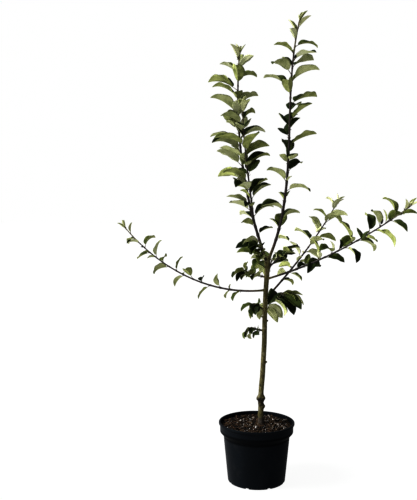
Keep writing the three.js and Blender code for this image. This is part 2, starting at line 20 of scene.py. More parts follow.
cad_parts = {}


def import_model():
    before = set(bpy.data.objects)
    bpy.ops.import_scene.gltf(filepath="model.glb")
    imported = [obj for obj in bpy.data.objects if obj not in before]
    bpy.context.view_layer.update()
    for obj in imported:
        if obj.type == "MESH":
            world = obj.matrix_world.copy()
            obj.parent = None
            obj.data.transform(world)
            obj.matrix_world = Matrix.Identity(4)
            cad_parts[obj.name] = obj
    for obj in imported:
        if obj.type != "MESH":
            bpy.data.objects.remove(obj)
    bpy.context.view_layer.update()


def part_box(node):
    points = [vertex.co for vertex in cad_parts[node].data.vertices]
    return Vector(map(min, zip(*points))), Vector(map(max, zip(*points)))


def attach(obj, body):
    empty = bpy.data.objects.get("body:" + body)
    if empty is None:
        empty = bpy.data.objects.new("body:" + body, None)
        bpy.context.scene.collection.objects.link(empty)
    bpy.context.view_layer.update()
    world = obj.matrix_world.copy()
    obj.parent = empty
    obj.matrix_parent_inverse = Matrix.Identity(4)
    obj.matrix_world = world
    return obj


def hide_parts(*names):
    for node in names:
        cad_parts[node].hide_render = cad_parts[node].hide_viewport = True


LOG = logging.getLogger("apple_bush")

Pair = tuple[float, float]
Triple = tuple[float, float, float]
Colour = Triple
Socket = bpy.types.NodeSocket
Tone = Colour | Socket

BODY = "root"
EAST = np.array([1.0, 0.0, 0.0])
NORTH = np.array([0.0, 1.0, 0.0])
UP = np.array([0.0, 0.0, 1.0])
WHITE = (1.0, 1.0, 1.0, 1.0)


# ----------------------------------------------------------------------------------------------------
# The growth rule: trunk, shoots and leaves
# ----------------------------------------------------------------------------------------------------


def unit(vector: np.ndarray) -> np.ndarray:
    """The direction of a vector, with length 1."""
    return vector / np.linalg.norm(vector)


def level(azimuth: float) -> np.ndarray:
    """The level direction at an angle from +X, in radians."""
    return np.array([math.cos(azimuth), math.sin(azimuth), 0.0])


def bell(away: float, width: float) -> float:
    """A bell curve, which is 1 where away is 0 and has faded out by about twice the width."""
    return math.exp(-((away / width) ** 2))


def clamped(value: float) -> float:
    """A value, kept between 0 and 1."""
    return min(max(value, 0.0), 1.0)


def turn_angles(sides: int) -> np.ndarray:
    """Angles that part a full turn evenly, in radians."""
    return np.arange(sides) * 2 * math.pi / sides


def spokes(sides: int, right: np.ndarray, up: np.ndarray) -> np.ndarray:
    """Directions that are spread evenly over a full turn.

    Args:
        sides: Number of directions.
        right: The first direction.
        up: The direction a quarter of a turn on.

    Returns:
        The directions, one to a row.
    """
    angles = turn_angles(sides)
    return np.cos(angles)[:, None] * right + np.sin(angles)[:, None] * up


def seeded(seed: int) -> Callable[[], float]:
    """Makes a small generator of repeatable numbers from 0 to 1.

    Args:
        seed: Whole number that fixes the row of numbers.

    Returns:
        A function that gives the next number at each call.
    """
    word = 0xFFFFFFFF
    state = seed & word

    def following() -> float:
        """Gives the next number.

        Returns:
            A number from 0 to 1.
        """
        nonlocal state
        state = (state + 0x6D2B79F5) & word
        t = ((state ^ (state >> 15)) * (state | 1)) & word
        t = (t ^ ((t + (((t ^ (t >> 7)) * (t | 61)) & word)) & word)) & word
        return ((t ^ (t >> 14)) & word) / (word + 1)

    return following


def distance_to_line(points: np.ndarray, line: np.ndarray) -> np.ndarray:
    """Distance of each point from a line of straight stretches.

    Args:
        points: Points, one to a row.
        line: The line's corners, one to a row.

    Returns:
        One distance for each point.
    """
    start = line[:-1]
    stretch = line[1:] - start
    along = ((points[:, None] - start) * stretch).sum(2) / (stretch * stretch).sum(1)
    nearest = start + stretch * np.clip(along, 0, 1)[..., None]
    return np.linalg.norm(nearest - points[:, None], axis=2).min(1)


@dataclass(frozen=True)
class Swelling:
    """A rounded swelling of the trunk, on the side that it faces."""

    height: float
    out: float
    spread: float
    side: float


@dataclass(frozen=True)
class Stub:
    """A short stub where a side shoot was pruned off the trunk."""

    height: float
    side: float
    length: float
    radius: float


@dataclass
class Trunk:
    """The trunk's centreline and its radius, with root flare, graft union and fork."""

    heights: tuple[float, ...] = (
        0.1943, 0.262, 0.294, 0.322, 0.364, 0.406, 0.476, 0.531, 0.573, 0.639, 0.683, 0.735, 0.77,
    )
    sideways: tuple[float, ...] = (
        0.0154, 0.0154, 0.0153, 0.0169, 0.0205, 0.0227, 0.0262, 0.0269, 0.0274, 0.0295, 0.032, 0.0352, 0.035,
    )
    depth: float = 0.012
    foot_radius: float = 0.0086
    top_radius: float = 0.0072
    taper: float = 0.7
    flare_lobes: int = 5
    flare_height: float = 0.01
    flare_swell: float = 0.0016
    flare_lobe_depth: float = 0.0008
    fork_height: float = 0.034
    fork_widen: float = 0.0036
    fork_spread: float = 0.0052
    fork_sunk: float = 0.004
    swelling_narrow: float = 1.5
    swellings: tuple[Swelling, ...] = (
        Swelling(0.222, 0.0024, 0.009, 180),
        Swelling(0.255, 0.006, 0.0065, 5),
        Swelling(0.282, 0.007, 0.0095, 180),
        Swelling(0.283, 0.0064, 0.009, 0),
        Swelling(0.27, 0.0024, 0.014, 90),
    )
    stubs: tuple[Stub, ...] = (
        Stub(0.404, 10, 0.007, 0.003),
        Stub(0.548, 8, 0.006, 0.0026),
        Stub(0.562, 176, 0.008, 0.0022),
    )

    @property
    def foot(self) -> float:
        """Height of the flat cut at the compost."""
        return self.heights[0]

    @property
    def top(self) -> float:
        """Height of the fork."""
        return self.heights[-1]

    def at(self, height: float) -> np.ndarray:
        """The point of the centreline at a height."""
        return np.array([np.interp(height, self.heights, self.sideways), self.depth, height])

    def radius(self, height: float, angle: float) -> float:
        """The trunk's radius at a height.

        Args:
            height: Height above the floor.
            angle: Side that is asked for, in radians from +X.

        Returns:
            Distance from the centreline to the bark.
        """
        share = (height - self.foot) / (self.top - self.foot)
        radius = self.foot_radius + (self.top_radius - self.foot_radius) * max(share, 0) ** self.taper
        flare = math.exp(-(height - self.foot) / self.flare_height)
        radius += flare * (self.flare_swell + self.flare_lobe_depth * math.cos(self.flare_lobes * angle))
        for bump in self.swellings:
            facing = max(0.0, math.cos(angle - math.radians(bump.side)))
            rise = bell(height - bump.height, bump.spread)
            radius += bump.out * rise * facing**self.swelling_narrow
        fork = math.exp(-(self.top - height) / self.fork_height)
        return radius + self.fork_widen * fork * math.cos(angle) ** 2


@dataclass(frozen=True)
class Leafage:
    """The leaves of one shoot: how many, the longest blade, the first angle round the stem and the seed."""

    count: int
    blade: float
    turn: float
    seed: int


@dataclass(frozen=True)
class Limb:
    """A limb or spur: where it points, how far it goes, how it climbs, and how thick it is."""

    azimuth: float
    length: float
    climb: Triple
    radii: Pair
    bare: float
    leafage: Leafage
    height: float | None = None


SPUR_RADII = (0.0026, 0.0018)
SPUR_BARE = 0.012
SPUR_BEND = 10  # degrees by which a spur climbs more steeply at its middle, and again at its tip


def spur(height: float, azimuth: float, length: float, rise: float, leafage: Leafage) -> Limb:
    """Describes a short leafy spur that grows straight out of the trunk and turns upwards.

    Args:
        height: Where it leaves the trunk.
        azimuth: The side that it points to, in degrees.
        length: Its length.
        rise: Its first angle of climb, in degrees.
        leafage: Its leaves.

    Returns:
        The spur as a limb.
    """
    climb = (rise, rise + SPUR_BEND, rise + 2 * SPUR_BEND)
    return Limb(azimuth, length, climb, SPUR_RADII, SPUR_BARE, leafage, height)


LIMBS = {
    "left_leader": Limb(
        152, 0.72, (67.5, 82.1, 94.7), (0.0045, 0.0017), 0.075, Leafage(29, 0.099, 330, 980)
    ),
    "right_leader": Limb(
        -40, 0.801, (61.8, 88.1, 74.1), (0.0045, 0.0017), 0.062, Leafage(28, 0.092, 190, 681)
    ),
    "left_bough": Limb(
        168, 0.572, (-8.4, 24, 48.7), (0.0031, 0.0013), 0.07, Leafage(17, 0.059, 100, 64), 0.6593
    ),
    "right_low_bough": Limb(
        -24, 0.543, (17.3, 27.9, 37.3), (0.0031, 0.0013), 0.07, Leafage(21, 0.078, 190, 626), 0.6972
    ),
    "right_high_bough": Limb(
        42, 0.514, (33.8, 40.1, 48.6), (0.0033, 0.0013), 0.09, Leafage(17, 0.075, 195, 689), 0.6282
    ),
}

SIDE_SHOOT = Limb(235, 0.39, (77.4, 77.1, 87.6), (0.0027, 0.0013), 0, Leafage(16, 0.1, 10, 360))
SIDE_SHOOT_PLACE = 0.137  # along the left leader, from the fork

SPURS = {
    "fork_left": spur(0.752, 222, 0.072, 50, Leafage(10, 0.072, 305, 142)),
    "fork_right": spur(0.735, -25, 0.082, 35, Leafage(10, 0.058, 180, 865)),
    "left_high": spur(0.704, 175, 0.072, 5, Leafage(9, 0.058, 345, 297)),
    "front": spur(0.623, -45, 0.08, 15, Leafage(10, 0.072, 10, 649)),
    "back_high": spur(0.703, 68, 0.08, 35, Leafage(9, 0.068, 310, 758)),
    "left_low": spur(0.592, 198, 0.044, 20, Leafage(9, 0.054, 220, 996)),
    "lowest": spur(0.519, 190, 0.05, 5, Leafage(5, 0.054, 95, 587)),
    "back_low": spur(0.598, 82, 0.04, -5, Leafage(9, 0.067, 215, 874)),
}

# Each mass of foliage, its node in the frame, and the shoots that it holds.
MASSES = {
    "left_leader": ("left_leader", "side_shoot"),
    "right_leader": ("right_leader",),
    "left_bough": ("left_bough",),
    "right_low": ("right_low_bough",),
    "right_high": ("right_high_bough",),
    **{name: (name,) for name in SPURS},
}


class Shoot:
    """A shoot's centreline, which climbs at an angle that changes smoothly from its foot to its tip."""

    STEPS = 40
    LAST = 0.99999

    def __init__(self, start: np.ndarray, limb: Limb) -> None:
        """Works out the centreline.

        Args:
            start: Where the limb begins.
            limb: Its length, directions and thickness.
        """
        self.limb = limb
        self.length = limb.length
        self.bare = limb.bare
        ahead = level(math.radians(limb.azimuth))
        self.side = np.cross(UP, ahead)
        foot, middle, tip = limb.climb
        points = [start]
        directions = []
        for i in range(self.STEPS):
            t = (i + 0.5) / self.STEPS
            climb = math.radians(
                foot * (1 - t) * (1 - 2 * t) + middle * 4 * t * (1 - t) + tip * t * (2 * t - 1)
            )
            direction = ahead * math.cos(climb) + UP * math.sin(climb)
            directions.append(direction)
            points.append(points[-1] + direction * (limb.length / self.STEPS))
        self.points = np.array(points)
        self.directions = np.array(directions)

    def at(self, distance: float) -> tuple[np.ndarray, np.ndarray]:
        """Finds a place on the centreline.

        Args:
            distance: How far along it from its foot.

        Returns:
            The point and the direction there.
        """
        place = min(max(distance / self.length, 0), self.LAST) * self.STEPS
        i = int(place)
        point = self.points[i] + (self.points[i + 1] - self.points[i]) * (place - i)
        return point, self.directions[i]

    def radius(self, distance: float) -> float:
        """The shoot's radius at a distance from its foot."""
        foot, tip = self.limb.radii
        return foot + (tip - foot) * (distance / self.length)

    def part(self, start: float, end: float, count: int) -> np.ndarray:
        """Points along part of the centreline.

        Args:
            start: Distance of the first point from the foot.
            end: Distance of the last point.
            count: Number of stretches between the points.

        Returns:
            The points, one to a row.
        """
        return np.array([self.at(start + (end - start) * i / count)[0] for i in range(count + 1)])


def make_shoots(trunk: Trunk) -> dict[str, Shoot]:
    """Places every limb and spur on the trunk.

    Args:
        trunk: The trunk that carries them.

    Returns:
        The shoots by name.
    """
    shoots = {}
    for name, limb in {**LIMBS, **SPURS}.items():
        start = trunk.at(limb.height or trunk.top)
        if limb.height is None:
            start = start + trunk.fork_spread * level(math.radians(limb.azimuth)) - trunk.fork_sunk * UP
        shoots[name] = Shoot(start, limb)
    place, _ = shoots["left_leader"].at(SIDE_SHOOT_PLACE)
    return {**shoots, "side_shoot": Shoot(place, SIDE_SHOOT)}


@dataclass(frozen=True)
class LeafRule:
    """How leaves stand, bend and fold. Angles are in degrees, sizes in shares of the blade's length."""

    golden_angle: float = 137.5
    turn_jitter: float = 36
    retry_turn: float = 47
    tries: int = 8
    crowding: float = 0.3
    smallest_foot: float = 0.64
    smallest_tip: float = 0.34
    longest: float = 0.55
    spur_share: float = 0.45
    first_place: float = 0.4
    young_from: float = 0.84
    rise: float = 54
    rise_spread: float = 18
    young_rise: float = 0.6
    lift: float = 0.25
    depth_share: float = 0.5
    stalk: Pair = (0.18, 0.1)
    roll_spread: float = 64
    drop: Pair = (2, 16)
    arch: Pair = (14, 40)
    fold: Pair = (30, 32)
    young_fold: float = 2
    size: Pair = (0.82, 0.36)
    width: float = 0.66
    steps: int = 10
    seed_steps: tuple[int, int, int] = (7919, 131, 17)
    stalk_probe: float = 0.6
    rib_probes: tuple[float, ...] = (0.25, 0.5, 0.75, 1)
    edge_probes: tuple[Pair, ...] = ((0.2, 0.84), (0.5, 1), (0.8, 0.62))

    def blade_share(self, share: float) -> float:
        """Works out a blade's length from the leaf's place on its shoot.

        Args:
            share: The place, as a share of the shoot's length.

        Returns:
            The length, as a share of the longest blade.
        """
        if share < self.longest:
            swell = math.sin(math.pi / 2 * share / self.longest)
            return self.smallest_foot + (1 - self.smallest_foot) * swell
        return 1 - (1 - self.smallest_tip) * ((share - self.longest) / (1 - self.longest)) ** 2


@dataclass(frozen=True)
class Clearance:
    """Distances that keep a leaf in the space of its own mass."""

    ground: float = 0.235
    trunk: float = 0.013
    limb: float = 0.008
    own_stem: float = 0.008
    other_shoot: float = 0.008
    border: float = 0.003
    leaf: float = 0.0045


RULE = LeafRule()
CLEAR = Clearance()


class Leaf:
    """One leaf: a stalk that rises from the stem, and a folded blade that arches over towards its tip."""

    def __init__(
        self,
        shoot: Shoot,
        distance: float,
        turn: float,
        length: float,
        youth: float,
        chance: Callable[[], float],
    ) -> None:
        """Places a leaf.

        Args:
            shoot: The shoot that carries it.
            distance: Where on the shoot it stands.
            turn: Its angle round the stem, in radians.
            length: Length of the blade.
            youth: From 0, full grown, to 1, still folded at the shoot's tip.
            chance: Generator of the numbers that vary it.
        """

        def varied(least_and_spread: Pair) -> float:
            """A value between the least and the least plus the spread."""
            return least_and_spread[0] + least_and_spread[1] * chance()

        point, direction = shoot.at(distance)
        side = unit(shoot.side - direction * direction.dot(shoot.side))
        back = np.cross(side, direction)
        if back[2] < 0:
            back = -back
        out = unit((back * math.cos(turn) + side * math.sin(turn)) * (1, RULE.depth_share, 1))
        ripe = 1 - RULE.young_rise * youth
        rise = math.radians((RULE.rise + (chance() - 0.5) * RULE.rise_spread) * ripe)
        stalk = unit(direction * math.cos(rise) + out * math.sin(rise) + UP * RULE.lift)
        self.distance = distance
        self.turn = turn
        self.youth = youth
        self.root = point
        self.length = length
        self.out = out
        self.base = point + stalk * (length * varied(RULE.stalk))
        up = unit(UP + direction)
        up = unit(up - stalk * stalk.dot(up))
        roll = math.radians((chance() - 0.5) * RULE.roll_spread)
        up = up * math.cos(roll) + np.cross(stalk, up) * math.sin(roll)
        drop = math.radians(varied(RULE.drop) * (1 - youth))
        self.along = stalk * math.cos(drop) - up * math.sin(drop)
        self.normal = up * math.cos(drop) + stalk * math.sin(drop)
        self.across = np.cross(self.along, self.normal)
        self.arch = math.radians(varied(RULE.arch) * ripe)
        self.fold = math.radians(varied(RULE.fold) + RULE.young_fold * youth)
        self.midrib = [self.base]
        step = length / RULE.steps
        for i in range(RULE.steps):
            bend = self.arch * (i + 0.5) / RULE.steps
            move = self.along * (step * math.cos(bend)) - self.normal * (step * math.sin(bend))
            self.midrib.append(self.midrib[-1] + move)

    def point(self, share: float, across: float) -> np.ndarray:
        """A point of the blade.

        Args:
            share: Share of the blade's length, from its base.
            across: From -1 at the left edge to 1 at the right edge, where the blade is widest.

        Returns:
            The point.
        """
        place = min(share * RULE.steps, RULE.steps - 1e-9)
        i = int(place)
        point = self.midrib[i] + (self.midrib[i + 1] - self.midrib[i]) * (place - i)
        normal = self.normal * math.cos(self.arch * share) + self.along * math.sin(self.arch * share)
        half = across * self.length * RULE.width / 2
        return point + self.across * (half * math.cos(self.fold)) + normal * (abs(half) * math.sin(self.fold))

    def samples(self) -> np.ndarray:
        """Spreads points over the stalk and the blade.

        Returns:
            The points, the stalk's two first.
        """
        points = [self.root + (self.base - self.root) * RULE.stalk_probe, self.base]
        points += [self.point(share, 0) for share in RULE.rib_probes]
        for share, width in RULE.edge_probes:
            points += [self.point(share, width), self.point(share, -width)]
        return np.array(points)


@dataclass
class Crown:
    """Grows the leaves of every shoot, each in the space of its own mass."""

    trunk: Trunk
    shoots: dict[str, Shoot]
    trunk_trace: tuple[float, float, int] = (0.195, 0.772, 30)
    spur_stretches: int = 4
    stem_stretches: int = 12
    limb_stretches: int = 3
    stems: dict[str, np.ndarray] = field(default_factory=dict)
    limbs: dict[str, np.ndarray] = field(default_factory=dict)
    mass_of: dict[str, str] = field(default_factory=dict)

    def __post_init__(self) -> None:
        """Traces the lines that leaves are kept clear of."""
        self.trunk_line = np.array([self.trunk.at(height) for height in np.linspace(*self.trunk_trace)])
        for mass, names in MASSES.items():
            for name in names:
                shoot = self.shoots[name]
                stretches = self.spur_stretches if name in SPURS else self.stem_stretches
                self.stems[name] = shoot.part(shoot.bare, shoot.length, stretches)
                self.mass_of[name] = mass
                if shoot.bare > 0:
                    self.limbs[name] = shoot.part(0, shoot.bare, self.limb_stretches)

    def is_clear(self, name: str, samples: np.ndarray, neighbours: np.ndarray) -> bool:
        """Tells whether a leaf keeps to its own space.

        Args:
            name: Its shoot.
            samples: Points of the leaf.
            neighbours: Points of the leaves that its mass already has.

        Returns:
            True where the leaf may stay.
        """
        if samples[:, 2].min() < CLEAR.ground:
            return False
        if distance_to_line(samples[3:6], self.shoots[name].points).min() < CLEAR.own_stem:
            return False
        if distance_to_line(samples, self.trunk_line).min() < CLEAR.trunk:
            return False
        for other, line in self.limbs.items():
            if other != name and distance_to_line(samples, line).min() < CLEAR.limb:
                return False
        own = distance_to_line(samples, self.stems[name])
        for other, line in self.stems.items():
            if other == name:
                continue
            away = distance_to_line(samples, line)
            if self.mass_of[other] == self.mass_of[name]:
                if away.min() < CLEAR.other_shoot:
                    return False
            elif (away < own + CLEAR.border).any():
                return False
        if not len(neighbours):
            return True
        return np.linalg.norm(samples[2:, None] - neighbours[None], axis=2).min() >= CLEAR.leaf

    def grow(self, name: str, neighbours: np.ndarray) -> tuple[list[Leaf], np.ndarray]:
        """Grows one shoot's leaves.

        Args:
            name: The shoot.
            neighbours: Points of the leaves that its mass already has.

        Returns:
            The leaves, and the points of all the mass's leaves so far.
        """
        shoot = self.shoots[name]
        leafage = shoot.limb.leafage
        leaves = []
        for i in range(leafage.count):
            t = (i + RULE.first_place) / leafage.count
            ahead = t * (1 + RULE.crowding - RULE.crowding * t)
            distance = shoot.bare + (shoot.length - shoot.bare) * ahead
            share = RULE.spur_share if name in SPURS else t
            youth = max(0.0, (share - RULE.young_from) / (1 - RULE.young_from))
            for attempt in range(RULE.tries):
                by_shoot, by_leaf, by_attempt = RULE.seed_steps
                chance = seeded(leafage.seed * by_shoot + i * by_leaf + attempt * by_attempt)
                spin = leafage.turn + i * RULE.golden_angle + (chance() - 0.5) * RULE.turn_jitter
                length = leafage.blade * RULE.blade_share(share) * (RULE.size[0] + RULE.size[1] * chance())
                turn = math.radians(spin + attempt * RULE.retry_turn)
                leaf = Leaf(shoot, distance, turn, length, youth, chance)
                samples = leaf.samples()
                if self.is_clear(name, samples, neighbours):
                    leaves.append(leaf)
                    neighbours = np.vstack([neighbours, samples[2:]])
                    break
        return leaves, neighbours


# ----------------------------------------------------------------------------------------------------
# Finishes
# ----------------------------------------------------------------------------------------------------


class Nodes:
    """A tree of shader nodes, which are added with their inputs set or linked."""

    def __init__(self, tree: bpy.types.NodeTree) -> None:
        """Takes the tree that the nodes go into."""
        self.tree = tree

    def feed(self, node: bpy.types.Node, inputs: dict[str | int, object]) -> None:
        """Sets a node's inputs, each to a value or to the output that it is linked to.

        Args:
            node: The node.
            inputs: A value or an output for each input, by name or number.
        """
        for name, value in inputs.items():
            if isinstance(value, Socket):
                self.tree.links.new(value, node.inputs[name])
            else:
                node.inputs[name].default_value = value

    def add(self, kind: str, inputs: dict[str | int, object], **settings: str) -> bpy.types.Node:
        """Adds a node.

        Args:
            kind: Its type, without the word that all of them start with.
            inputs: The values or outputs that its inputs take, by their name or number.
            settings: Its own settings.

        Returns:
            The node.
        """
        node = self.tree.nodes.new(f"ShaderNode{kind}")
        for name, value in settings.items():
            setattr(node, name, value)
        self.feed(node, inputs)
        return node


@dataclass(frozen=True)
class Pattern:
    """Noise over a surface.

    Its numbers are patches to a metre, octaves of finer noise, scale along each axis, how much it swirls,
    and the values between which its patches fade in.
    """

    scale: float
    detail: float = 3
    stretch: Triple = (1, 1, 1)
    swirl: float = 0
    fade: Pair = (0.35, 0.65)


@dataclass(frozen=True)
class Specks:
    """Small round specks: how many to a metre, how much of its cell each fills, and scale along each axis."""

    scale: float
    size: float
    stretch: Triple = (1, 1, 1)
    core: float = 0.6


class Sheet(Nodes):
    """The nodes of one material, which end in its Principled shader."""

    def __init__(self, name: str, roughness: float, specular: float = 0.5) -> None:
        """Starts a material.

        Args:
            name: Name of the material.
            roughness: Roughness of the surface.
            specular: Strength of its reflection.
        """
        self.material = bpy.data.materials.new(name)
        self.material.use_nodes = True
        super().__init__(self.material.node_tree)
        self.surface = self.tree.nodes["Principled BSDF"]
        self.feed(self.surface, {"Roughness": roughness, "Specular IOR Level": specular})
        self.place = self.add("TexCoord", {}).outputs["Object"]

    def stretched(self, scale: Triple) -> Socket:
        """Object coordinates, scaled along each axis."""
        return self.add("Mapping", {"Vector": self.place, "Scale": scale}).outputs["Vector"]

    def noise(self, pattern: Pattern) -> Socket:
        """Adds the noise of a pattern.

        Args:
            pattern: The pattern.

        Returns:
            The noise, from 0 to 1.
        """
        inputs = {
            "Vector": self.stretched(pattern.stretch),
            "Scale": pattern.scale,
            "Detail": pattern.detail,
            "Distortion": pattern.swirl,
        }
        return self.add("TexNoise", inputs).outputs[0]

    def patches(self, pattern: Pattern) -> Socket:
        """The patches of a pattern: 1 inside them and 0 outside."""
        return self.fade(self.noise(pattern), pattern.fade)

    def specks(self, specks: Specks) -> Socket:
        """Adds a layer of specks.

        Args:
            specks: Their spread, size and stretch.

        Returns:
            1 inside the specks and 0 between them.
        """
        inputs = {"Vector": self.stretched(specks.stretch), "Scale": specks.scale}
        away = self.add("TexVoronoi", inputs).outputs["Distance"]
        return self.fade(away, (specks.size, specks.size * specks.core))

    def fade(self, source: Socket, ends: Pair) -> Socket:
        """A value that rises smoothly from 0 to 1 as the source goes from the first end to the second."""
        inputs = {"Value": source, "From Min": ends[0], "From Max": ends[1]}
        return self.add("MapRange", inputs, interpolation_type="SMOOTHSTEP").outputs["Result"]

    def band(self, foot: Pair, top: Pair) -> Socket:
        """Marks a band of heights.

        Args:
            foot: Heights where the band begins and where it is full.
            top: Heights where it ends and where it is still full.

        Returns:
            1 in the band and 0 above and below it.
        """
        height = self.add("SeparateXYZ", {0: self.place}).outputs["Z"]
        return self.product(self.fade(height, foot), self.fade(height, top))

    def product(self, first: Socket, second: Socket | float) -> Socket:
        """Multiplies a value by another one or by a number."""
        return self.add("Math", {0: first, 1: second}, operation="MULTIPLY").outputs[0]

    def attribute(self, name: str) -> Socket:
        """The value that the mesh carries under a name."""
        return self.add("Attribute", {}, attribute_name=name).outputs["Fac"]

    def blend(self, factor: Socket, first: Tone, second: Tone) -> Socket:
        """Mixes two colours.

        Args:
            factor: 0 for the first colour and 1 for the second.
            first: A colour, or a socket that gives one.
            second: The other colour.

        Returns:
            The mixed colour.
        """
        tones = [(*tone, 1) if isinstance(tone, tuple) else tone for tone in (first, second)]
        return self.add("Mix", {0: factor, 6: tones[0], 7: tones[1]}, data_type="RGBA").outputs[2]

    def paint(self, colour: Socket) -> None:
        """Gives the surface its colour."""
        self.feed(self.surface, {"Base Color": colour})

    def vary(self, setting: str, factor: Socket, values: Pair) -> None:
        """Varies a setting of the surface between two values."""
        inputs = {"Value": factor, "To Min": values[0], "To Max": values[1]}
        self.feed(self.surface, {setting: self.add("MapRange", inputs).outputs["Result"]})

    def bump(self, *layers: tuple[Socket, float]) -> None:
        """Adds relief to the surface's normal.

        Args:
            layers: For each layer its height, from 0 to 1, and the depth in metres that 1 stands for.
        """
        normal: dict[str | int, object] = {}
        for height, depth in layers:
            node = self.add("Bump", {"Height": height, "Distance": depth, **normal})
            normal = {"Normal": node.outputs["Normal"]}
        self.feed(self.surface, normal)


@dataclass(frozen=True)
class LeafFinish:
    """One side of a leaf: a plain tone that is faintly mottled, with a fine grain of small veins."""

    name: str
    tone: Colour
    shade: Colour
    roughness: float
    specular: float
    mottle: Pattern = Pattern(38, fade=(0.36, 0.66))
    grain: Pattern = Pattern(900, 2)
    grain_depth: float = 0.00006

    def make(self) -> bpy.types.Material:
        """Makes the material.

        Returns:
            The material, with its nodes.
        """
        sheet = Sheet(self.name, self.roughness, self.specular)
        sheet.paint(sheet.blend(sheet.patches(self.mottle), self.tone, self.shade))
        sheet.bump((sheet.noise(self.grain), self.grain_depth))
        return sheet.material


@dataclass(frozen=True)
class ShootFinish:
    """Bark of a thin shoot: two mottled tones, with fine pale lenticels."""

    name: str
    tone: Colour
    shade: Colour
    speck: Colour
    roughness: float = 0.5
    mottle: Pattern = Pattern(260)
    grain: Pattern = Pattern(780)
    lenticels: Specks = Specks(330, 0.2)
    depth: float = 0.0002

    def make(self) -> bpy.types.Material:
        """Makes the material.

        Returns:
            The material, with its nodes.
        """
        sheet = Sheet(self.name, self.roughness)
        skin = sheet.blend(sheet.noise(self.mottle), self.tone, self.shade)
        lenticels = sheet.specks(self.lenticels)
        sheet.paint(sheet.blend(lenticels, skin, self.speck))
        sheet.bump((sheet.noise(self.grain), self.depth), (lenticels, self.depth))
        return sheet.material


@dataclass(frozen=True)
class BarkFinish:
    """Bark of the trunk: olive and grey patches, lenticels, a pitted graft, browner young limbs, and painted
    shade in hollows and grooves.
    """

    name: str = "olive_bark"
    olive: Colour = (0.205, 0.187, 0.084)
    dark: Colour = (0.082, 0.071, 0.031)
    grey: Colour = (0.238, 0.224, 0.138)
    shoot: Colour = (0.101, 0.07, 0.059)
    shoot_dark: Colour = (0.063, 0.046, 0.042)
    foot: Colour = (0.112, 0.096, 0.08)
    graft: Colour = (0.03, 0.022, 0.014)
    # Painted shade laid into the bark's hollows and grooves.
    crease_shade: Colour = (0.014, 0.011, 0.009)
    lenticel: Colour = (0.307, 0.28, 0.211)
    graft_foot: Pair = (0.25, 0.264)
    graft_top: Pair = (0.292, 0.283)
    foot_band: Pair = (0.18, 0.19)
    foot_top: Pair = (0.227, 0.207)
    youth_attribute: str = "youth"
    crease_shade_attribute: str = "crease_shade"
    roughness: float = 0.72
    roughness_range: Pair = (0.6, 0.85)
    specular: float = 0.3
    fibres: Pattern = Pattern(420, 4, (1, 1, 0.16), fade=(0.36, 0.66))
    patches: Pattern = Pattern(70, 4, fade=(0.52, 0.7))
    mottle: Pattern = Pattern(300)
    pits: Pattern = Pattern(120, fade=(0.36, 0.5))
    pit_strength: float = 0.92
    grain: Pattern = Pattern(900, 2)
    lenticels: Specks = Specks(170, 0.17, (1, 1, 2.4))
    fibre_depth: float = 0.0009
    grain_depth: float = 0.0003
    lenticel_depth: float = 0.0004

    def make(self) -> bpy.types.Material:
        """Makes the material.

        Returns:
            The material, with its nodes.
        """
        sheet = Sheet(self.name, self.roughness, self.specular)
        fibres = sheet.noise(self.fibres)
        trunk = sheet.blend(sheet.fade(fibres, self.fibres.fade), self.dark, self.olive)
        trunk = sheet.blend(sheet.patches(self.patches), trunk, self.grey)
        young = sheet.blend(sheet.patches(self.mottle), self.shoot_dark, self.shoot)
        colour = sheet.blend(sheet.attribute(self.youth_attribute), trunk, young)
        lenticels = sheet.specks(self.lenticels)
        colour = sheet.blend(lenticels, colour, self.lenticel)
        pits = sheet.product(sheet.patches(self.pits), self.pit_strength)
        pits = sheet.product(pits, sheet.band(self.graft_foot, self.graft_top))
        colour = sheet.blend(pits, colour, self.graft)
        colour = sheet.blend(sheet.band(self.foot_band, self.foot_top), colour, self.foot)
        # Painted shade in hollows and grooves, from values the mesh carries.
        sheet.paint(sheet.blend(sheet.attribute(self.crease_shade_attribute), colour, self.crease_shade))
        sheet.vary("Roughness", fibres, self.roughness_range)
        sheet.bump(
            (fibres, self.fibre_depth),
            (sheet.noise(self.grain), self.grain_depth),
            (lenticels, self.lenticel_depth),
        )
        return sheet.material


